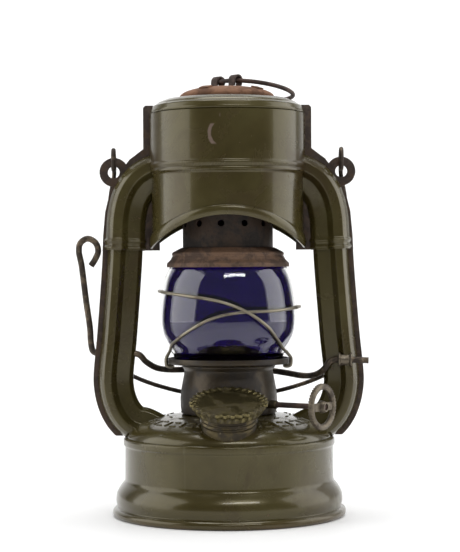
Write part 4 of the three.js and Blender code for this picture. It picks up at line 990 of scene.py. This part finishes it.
def shoulder(side):
    dense = []
    for a, b in zip(shoulder_line, shoulder_line[1:]):
        pieces = 4 if a[2] < canopy_low + 8 else 1
        dense += [tuple(lerp(p, q, i / pieces) for p, q in zip(a, b)) for i in range(pieces)]
    dense.append(shoulder_line[-1])

    def half_section(i, point):
        half = rounded([(HALF_GAP, TUBE_WIDTH / 2 + collar_grow(point[2]))] + tube_half(collar_grow(point[2]))
                       + [(HALF_GAP, -TUBE_WIDTH / 2 - collar_grow(point[2]))], 0.6, 3, closed=False)
        return [(side * d, w) for d, w in half]

    corners, faces = swept(dense, half_section)
    held = []
    for x, y, z in corners:
        radius = math.hypot(x, y)
        within = LOWER_RADIUS - 0.45
        scale = within / radius if radius < within else 1
        held.append((x * scale, y * scale if abs(y) > HALF_GAP else y, z))
    return held, faces


# %% [markdown]
# Along its sides the canopy is closed by a folded seam, a flat rim that widens into an ear with a hole for
# the bail. A filled 2D curve makes such a plate in one go, with its hole, thickness and rounded edge.

# %% Seam plates with ears
EAR_X, EAR_Z, EAR_RADIUS, EAR_HOLE = 62.5, canopy_low + 42.5, 7.8, 3.3
rim_outer, rim_seam, rim_top = TUBE_X + 12.5, UPPER_RADIUS + 3.6, top_joint + 5
seam_outline = [
    (37.6, canopy_low - 0.3), (rim_outer, canopy_low - 0.3), (rim_outer - 0.4, canopy_low + 8),
    (rim_outer - 1.5, canopy_low + 20.5), (rim_outer - 3.7, canopy_low + 29.5),
    (rim_outer - 8, canopy_low + 40),
    (rim_outer - 15.2, canopy_low + 49.5), (rim_outer - 19, canopy_low + 52.3), (rim_seam, canopy_low + 55.2),
    (rim_seam, rim_top - 1.2), (rim_seam - 1.2, rim_top), (37.6, rim_top)]


def with_ear(outline):
    """The outline with the ear's arc in place of the stretch that it covers."""
    outside, crossings = [], []
    for i, (a, b) in enumerate(zip(outline, outline[1:] + outline[:1])):
        inside_a = math.hypot(a[0] - EAR_X, a[1] - EAR_Z) < EAR_RADIUS
        if not inside_a:
            outside.append(a)
        for step in range(200):
            p = [tuple(lerp(u, w, (step + k) / 200) for u, w in zip(a, b)) for k in (0, 1)]
            near = [math.hypot(q[0] - EAR_X, q[1] - EAR_Z) < EAR_RADIUS for q in p]
            if near[0] != near[1]:
                crossings.append(math.atan2(p[0][1] - EAR_Z, p[0][0] - EAR_X))
                if len(crossings) == 1:
                    mark = len(outside)
    first, last = crossings[0], crossings[1]
    while last < first:
        last += 2 * math.pi
    arc = [(EAR_X + EAR_RADIUS * math.cos(lerp(first, last, i / 20)),
            EAR_Z + EAR_RADIUS * math.sin(lerp(first, last, i / 20)))
           for i in range(21)]
    return outside[:mark] + arc + outside[mark:]


def seam_plate(side):
    curve = bpy.data.curves.new("seam_plate", "CURVE")
    curve.dimensions, curve.fill_mode = "2D", "BOTH"
    curve.extrude, curve.bevel_depth, curve.bevel_resolution = 0.22 * MM, 0.2 * MM, 1
    hole = [(EAR_X + (EAR_HOLE + 0.2) * math.cos(a), EAR_Z + (EAR_HOLE + 0.2) * math.sin(a))
            for a in (2 * math.pi * i / 24 for i in range(24))]
    ear = with_ear(seam_outline)
    for outline in ([(x - 0.2 if x > 40 else x, z) for x, z in ear], hole):
        spline = curve.splines.new("POLY")
        spline.points.add(len(outline) - 1)
        spline.use_cyclic_u = True
        for point, (x, z) in zip(spline.points, outline):
            point.co = (x * MM, z * MM, 0, 1)
    maker = bpy.data.objects.new("seam_plate", curve)
    bpy.context.scene.collection.objects.link(maker)
    bpy.context.view_layer.update()
    mesh = bpy.data.meshes.new_from_object(maker.evaluated_get(bpy.context.evaluated_depsgraph_get()))
    bpy.data.objects.remove(maker)
    corners, faces = geometry_from(mesh)
    return [(x, side * 0.575 + z * side, y) for x, y, z in corners], faces


for name, side in (("front", -1), ("back", 1)):
    right = shoulder(side)
    plate = seam_plate(side)
    paint = scarred_enamel if side < 0 else enamel
    piece(f"canopy_{name}_half", *joined(canopy_wall(side), right, mirror_x(right)), paint, "frame",
          f"canopy_{name}", slot="olive_paint", crease=28)
    piece(f"canopy_{name}_seam", *joined(plate, mirror_x(plate)), rust_seam, "frame", slot="olive_paint")

# %% [markdown]
# The canopy's top steps in over three small tiers to the chimney's hole.

# %% Canopy top
top_line = [(UPPER_RADIUS - 1.3, top_joint - 3.5), (UPPER_RADIUS - 1.2, top_joint - 0.1),
            (UPPER_RADIUS - 0.3, top_joint + 0.6),
            (UPPER_RADIUS - 0.2, top_joint + 1.6), (UPPER_RADIUS - 0.9, top_joint + 3.0),
            (UPPER_RADIUS - 1.5, top_joint + 4.4),
            (UPPER_RADIUS - 3.4, top_joint + 5.2), (UPPER_RADIUS - 4.5, canopy_crown - 2.1),
            (UPPER_RADIUS - 6.6, canopy_crown - 1.2), (UPPER_RADIUS - 8.8, canopy_crown - 0.3),
            (31.5, canopy_crown - 0.6), (30.6, canopy_crown - 0.05), (25.6, canopy_crown)]
piece("canopy_crown", *turned(rounded(sheet_profile(top_line, 0.9), 0.9, 4), 128), enamel, "frame",
      "canopy_top", slot="olive_paint")

# %% [markdown]
# Each air tube is pressed from two halves, with a raised strip along the outer half of each face and a
# thin seam standing out along its outer edge. One section is carried along a line that leaves the dome,
# bends at the hip and runs up into the shoulder.

# %% Side tubes
canopy_foot = canopy_low + 0.6864  # the tubes' nominal end, just above the canopy's lowest corner
foot_x, hip_x, hip_z = wall_radius - 10.6, wall_radius + 4.8, wall_top + 32
foot_z = dome_height(foot_x) - 1.6
tube_marks = [(foot_x - 9, 0, foot_z - 4.6)]
for share in (0, 0.12, 0.26, 0.4, 0.55, 0.7, 0.85):
    bent = share * math.pi / 2
    tube_marks.append((lerp(foot_x, hip_x, math.sin(bent)), 0, lerp(hip_z, foot_z, math.cos(bent))))
for share in (0, 0.35, 1):
    tube_marks.append((lerp(hip_x, TUBE_X, share**0.85), 0, lerp(hip_z, canopy_foot - 2, share)))
tube_line = smooth_line([*tube_marks, (TUBE_X, 0, canopy_foot + 5)], 8)


def tube_section(*_):
    half = rounded(tube_half(0), 0.5, 4, closed=False)
    return half + [(-d, w) for d, w in reversed(half)]


def seam_section(_, point):
    w = TUBE_WIDTH / 2
    flap = 0.85 if point[2] < canopy_low - 1.2 else 0.3
    return rounded([(flap, w - 0.9), (flap, w + 2.95), (-flap, w + 2.95), (-flap, w - 0.9)], 0.4, 2)


tube = swept(tube_line, tube_section)
seam_line = [p for p in tube_line if wall_top + 5.5 < p[2] < canopy_low - 1.5]
seam_end = canopy_low - 0.32
upper_line = tube_line[8:]
seam_end_x = float(np.interp(seam_end, [p[2] for p in upper_line], [p[0] for p in upper_line]))
seam_line.append((seam_end_x, 0, seam_end))
seam_corners, seam_faces = swept(seam_line, seam_section)


def beside_wall(x, y, z):
    """Keeps the seam's foot outside the tank's bead and above it."""
    return max(x, wall_radius + 1.3) if z < wall_top + 4 else x, y, max(z, wall_top + 0.4)


edge_seam = [beside_wall(*corner) for corner in seam_corners], seam_faces
for name, flip in (("right", False), ("left", True)):
    body = mirror_x(tube) if flip else tube
    rim = mirror_x(edge_seam) if flip else edge_seam
    piece(f"air_tube_{name}", *body, enamel, "frame", f"side_tube_{name}", slot="olive_paint", crease=24)
    piece(f"air_tube_{name}_seam", *rim, rust_seam, "frame", slot="olive_paint")

# %% [markdown]
# The lid is a shallow pressed bowl with four bent tabs.

# %% Lid
vault = [(26 * math.sin(a), lid_low + 0.6 + (lid_high - lid_low - 0.6) * math.cos(a)) for a in
         (math.pi / 2 * i / 14 for i in range(15))]
lid_profile = [(0.0, lid_high - 0.9)] + [(r * 0.965, z - 0.85) for r, z in vault[1:-1]] + [
    (25.1, lid_low), (26.0, lid_low), (26.0, lid_low + 0.7)] + vault[::-1][1:]
tab = placed(lofted([[(x, y, z) for x, y in rounded([(-2.2, -3.2), (2.2, -3.2), (2.2, 3.2), (-2.2, 3.2)],
                                                    0.7, 3)]
                     for z in (-0.8, 0.5, 0.8)]), Matrix.Rotation(math.radians(18), 4, "Y"))
tabs = round_circle(tab, 4, 20, lid_low + 0.66 * (lid_high - lid_low), 55, lid_rust)
piece("lid_bowl", *joined(turned(lid_profile, 96), tabs), lid_rust, "hood", "chimney_lid", slot="rusty_steel")

# %% [markdown]
# Two staples on the lid hold the ring that lifts the hood. The ring hangs over to the back, one short
# stretch of it held in the staples.

# %% Lift ring
RING_RADIUS, RING_WIRE, DROOP, RING_TURN = 22.0, 2.4, 10.0, -46.7
STAPLE_HALF = 7.0  # half the distance between the staples
ring_place = (Matrix.Rotation(math.radians(RING_TURN), 4, "Z") @ Matrix.Translation((0, 0, lid_high + 2.7))
              @ Matrix.Rotation(math.radians(-DROOP), 4, "X")
              @ Matrix.Translation((0, math.sqrt(RING_RADIUS**2 - STAPLE_HALF**2), 0)))
ring_path = [tuple(ring_place @ Vector((RING_RADIUS * math.cos(a), RING_RADIUS * math.sin(a), 0)))
             for a in (2 * math.pi * i / 96 for i in range(96))]
wire("lift_ring_wire", ring_path, RING_WIRE, dark_oxide, "lift_ring", "lift_ring", loop=True)

# %% [markdown]
# The crank is one bent wire. Its lever stands up on the left and ends in a hook, its pivots run through the
# tubes, and its bow passes behind the burner, under the globe plate, so that pushing the lever lifts the
# globe. The pivot's line is a little skewed, and the wire's points are measured from it.

# %% Lift crank
CRANK_WIRE, PIVOT_X = 3.4, 60.814  # the tubes' centres at the pivot's height
HOOK, BOW_BACK, BOW_DROP, STUB_OUT = 10.6, 29.2, 8.4, 15.5
pivot_z = crown + 31.2


def on_pivot(x):
    """A point of the pivot's line, whose right end is further forward and lower."""
    return x, -3.6 - 4.4 * x / PIVOT_X, pivot_z - 1.75 * x / PIVOT_X


lever_x = -(PIVOT_X + TUBE_WIDTH / 2 + 3 + 1.75 + 0.4)
_, lever_y, base_z = on_pivot(lever_x)
lever_top_x, lever_top = lever_x - 6.6, base_z + 63
left_x, left_y, left_z = on_pivot(-PIVOT_X + TUBE_WIDTH / 2 + 1.6)
right_x, right_y, right_z = on_pivot(PIVOT_X - 4)
hook_line = [(lever_top_x + HOOK * across, lever_y, lever_top - down) for across, down in (
    (0.62, 15), (0.84, 11.4), (1, 6.8), (0.86, 2.2), (0.45, 0), (0.08, 2.4), (0, 7))]
lever_line = [(lever_top_x + 1.3, lever_y, lever_top - 14)] + [
    (lerp(lever_top_x, lever_x, across), lever_y, lerp(lever_top, base_z, down))
    for across, down in ((0.58, 0.55), (0.88, 0.78))]
lever_line += [(lever_x - 0.2, lever_y, base_z + 5), (lever_x + 1, lever_y, base_z + 0.8)]
bow_line = [(left_x, left_y, left_z), (left_x + 4, left_y + 3.6, left_z - 4.2),
            (left_x + 9.6, left_y + 9, left_z - BOW_DROP + 0.4)]
bow_line += [(PIVOT_X * across, BOW_BACK * back, pivot_z - BOW_DROP - sag) for across, back, sag in (
    (-0.5, 0.68, 0), (-0.31, 0.92, 0), (0, 1, 0), (0.31, 0.92, 0.6), (0.52, 0.62, 1.9), (0.68, 0.28, 3))]
bow_line += [(right_x - 8.8, right_y + 5.4, right_z - 8.4), (right_x - 4.6, right_y - 0.4, right_z - 5),
             (right_x - 1.4, right_y, right_z - 1)]
crank_points = [*hook_line, *lever_line, on_pivot(lever_x + 4.4), on_pivot(-PIVOT_X), *bow_line,
                on_pivot(right_x + 2.4), on_pivot(PIVOT_X + STUB_OUT)]
wire("crank_wire", smooth_line(crank_points, 7), CRANK_WIRE, wire_metal, "crank", "lift_crank")

# %% [markdown]
# A small spool lines the hole in the right tube. It is turned upright and then laid along the pivot.

# %% Bushing of the crank
pivot_direction = Vector(on_pivot(PIVOT_X)) - Vector(on_pivot(-PIVOT_X))
lay_down = Vector((0, 0, 1)).rotation_difference(pivot_direction).to_matrix().to_4x4()
bushing_place = Matrix.Translation(on_pivot(PIVOT_X)) @ lay_down
bushing_profile = rounded([
    (2.15, -0.9), (4.05, -0.9), (4.05, 0.1), (3.05, 0.4), (3.05, 5.2), (4.05, 5.5), (4.05, 6.5),
    (2.15, 6.5)], 0.3, 3)
piece("bushing_spool", *placed(turned(bushing_profile, 48), bushing_place), knob_metal, "frame",
      "crank_bushing", slot="bare_steel")

# %% [markdown]
# The bail hangs from the ears and lies back against the drum. Each end is an eye, bent round the ear's
# edge and drawn out upwards, and below it the wire runs down and spreads a little before it turns in.

# %% Bail
BAIL_WIRE, BAIL_X, SPREAD_X, EYE_RADIUS = 2.4, 62.5, 65.7, 4.4
bail_pivot_z = canopy_low + 48.05
bail_reach = canopy_foot + 48.05 - crown - 4.45
eye_tops = {5: 3.3, 6: 5.6, 7: 6.7, 8: 6.5, 9: 5.1, 10: 2.8}  # heights of the eye's drawn-out upper half
bail_half = []
for i in range(12):
    angle = math.radians(275 * (1 - i / 11))
    bail_half.append((BAIL_X, EYE_RADIUS * math.cos(angle), eye_tops.get(i, EYE_RADIUS * math.sin(angle))))
bail_half += [(BAIL_X + 0.2, EYE_RADIUS, -8), (lerp(BAIL_X, SPREAD_X, 0.75), EYE_RADIUS, -20),
              (SPREAD_X, EYE_RADIUS, -36)]
bail_half += [(x, EYE_RADIUS, -share * bail_reach) for x, share in (
    (SPREAD_X, 0.76), (SPREAD_X - 0.8, 0.815), (SPREAD_X - 3.4, 0.862), (SPREAD_X * 0.81, 0.91),
    (SPREAD_X * 0.44, 0.972), (0, 1))]
resting_radius = 26.6 + BAIL_WIRE / 2 + 0.35  # the drum, half the wire and a gap
bail_span = math.hypot(bail_reach, EYE_RADIUS)
bail_lean = math.asin(resting_radius / bail_span) - math.atan2(EYE_RADIUS, bail_reach)
bail_place = Matrix.Translation((0, 0, bail_pivot_z)) @ Matrix.Rotation(bail_lean, 4, "X")
other_half = [(-x, y, z) for x, y, z in reversed(bail_half[:-1])]
bail_points = [tuple(bail_place @ Vector(p)) for p in bail_half + other_half]
wire("bail_wire", smooth_line(bail_points, 6), BAIL_WIRE, wire_metal, "bail", "bail")

# %% [markdown]
# Pieces whose CAD shape is already right keep it, and only get their material: the floor under the tank,
# the burner's inner parts and the staples.

# %% Materials for the CAD nodes that stay
for node, material in {
    "tank_floor": worn_enamel, "filler_gasket": cork, "burner_base": dull_brass, "wick_tube": dull_brass,
    "wick": cotton,
    "wick_wheel_inner": dull_brass, "wick_wheel_outer": dull_brass, "burner_cone": dull_brass,
    "spring_seat": sooty_metal, "staple_left": dark_oxide, "staple_right": dark_oxide,
}.items():
    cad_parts[node].data.materials.clear()
    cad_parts[node].data.materials.append(material)
    print(node, "->", material.name)

# %% [markdown]
# The floor is one pale sheet that bends up behind the lantern, so no horizon shows from the front.

# %% Floor
floor_finish = Finish("floor", Roughness=0.6)
floor_finish.feed(floor_finish.shader.inputs["Base Color"], floor_finish.mix(
    floor_finish.noise(3), (0.86, 0.86, 0.86), (0.88, 0.88, 0.88)))
floor_finish.shader.inputs["Emission Color"].default_value = (1, 1, 1, 1)
floor_finish.shader.inputs["Emission Strength"].default_value = 0.06
FRONT, BEND_START, BEND_RADIUS, SHEET_TOP, HALF_WIDTH, BEND_STEPS = -1.6, 1.2, 0.8, 2.6, 2.2, 16
bend = [(FRONT, 0.0)]
for i in range(BEND_STEPS + 1):
    a = math.pi / 2 * i / BEND_STEPS
    bend.append((BEND_START + BEND_RADIUS * math.sin(a), BEND_RADIUS - BEND_RADIUS * math.cos(a)))
bend.append((BEND_START + BEND_RADIUS, SHEET_TOP))
floor_mesh = bpy.data.meshes.new("floor")
floor_mesh.from_pydata([(x, y, z) for x in (-HALF_WIDTH, HALF_WIDTH) for y, z in bend], [],
                       [(i, i + len(bend), i + len(bend) + 1, i + 1) for i in range(len(bend) - 1)])
floor_mesh.materials.append(floor_finish.material)
floor_mesh.shade_smooth()
floor = bpy.data.objects.new("floor", floor_mesh)
bpy.context.scene.collection.objects.link(floor)
print("floor of", len(floor_mesh.polygons), "faces")

# %% [markdown]
# The lights are large, so that the enamel gets long soft reflections: one on each side, a narrow one in
# front, one overhead and one that brightens the sheet behind. Places and sizes are in metres.


# %% Lights
def softbox(name, place, target, size, power, colour=(1, 1, 1)):
    light = bpy.data.lights.new(name, "AREA")
    light.shape, light.size, light.size_y, light.energy, light.color = "RECTANGLE", *size, power, colour
    made = bpy.data.objects.new(name, light)
    made.location = place
    made.rotation_euler = (Vector(target) - Vector(place)).to_track_quat("-Z", "Y").to_euler()
    bpy.context.scene.collection.objects.link(made)


softbox("right", (1.5, 0.15, 0.6), (0, 0, 0.12), (1.5, 1.7), 17)
softbox("left", (-1.5, -0.15, 0.6), (0, 0, 0.12), (1.7, 1.7), 19)
softbox("key", (0.3, -1.2, 1.3), (0, 0, 0.14), (1.0, 0.16), 8)
softbox("top", (0.0, 0.1, 1.8), (0, 0, 0.1), (1.2, 0.9), 17)
softbox("backdrop", (0.0, 0.9, 1.5), (0, 2.0, 0.5), (2.4, 0.5), 16)
world = bpy.data.worlds.new("studio")
world.use_nodes = True
world.node_tree.nodes["Background"].inputs["Color"].default_value = (1, 1, 1, 1)
world.node_tree.nodes["Background"].inputs["Strength"].default_value = 0.16
bpy.context.scene.world = world
bpy.context.scene.view_settings.view_transform = "Standard"
print("lights:", [light.name for light in bpy.data.lights])
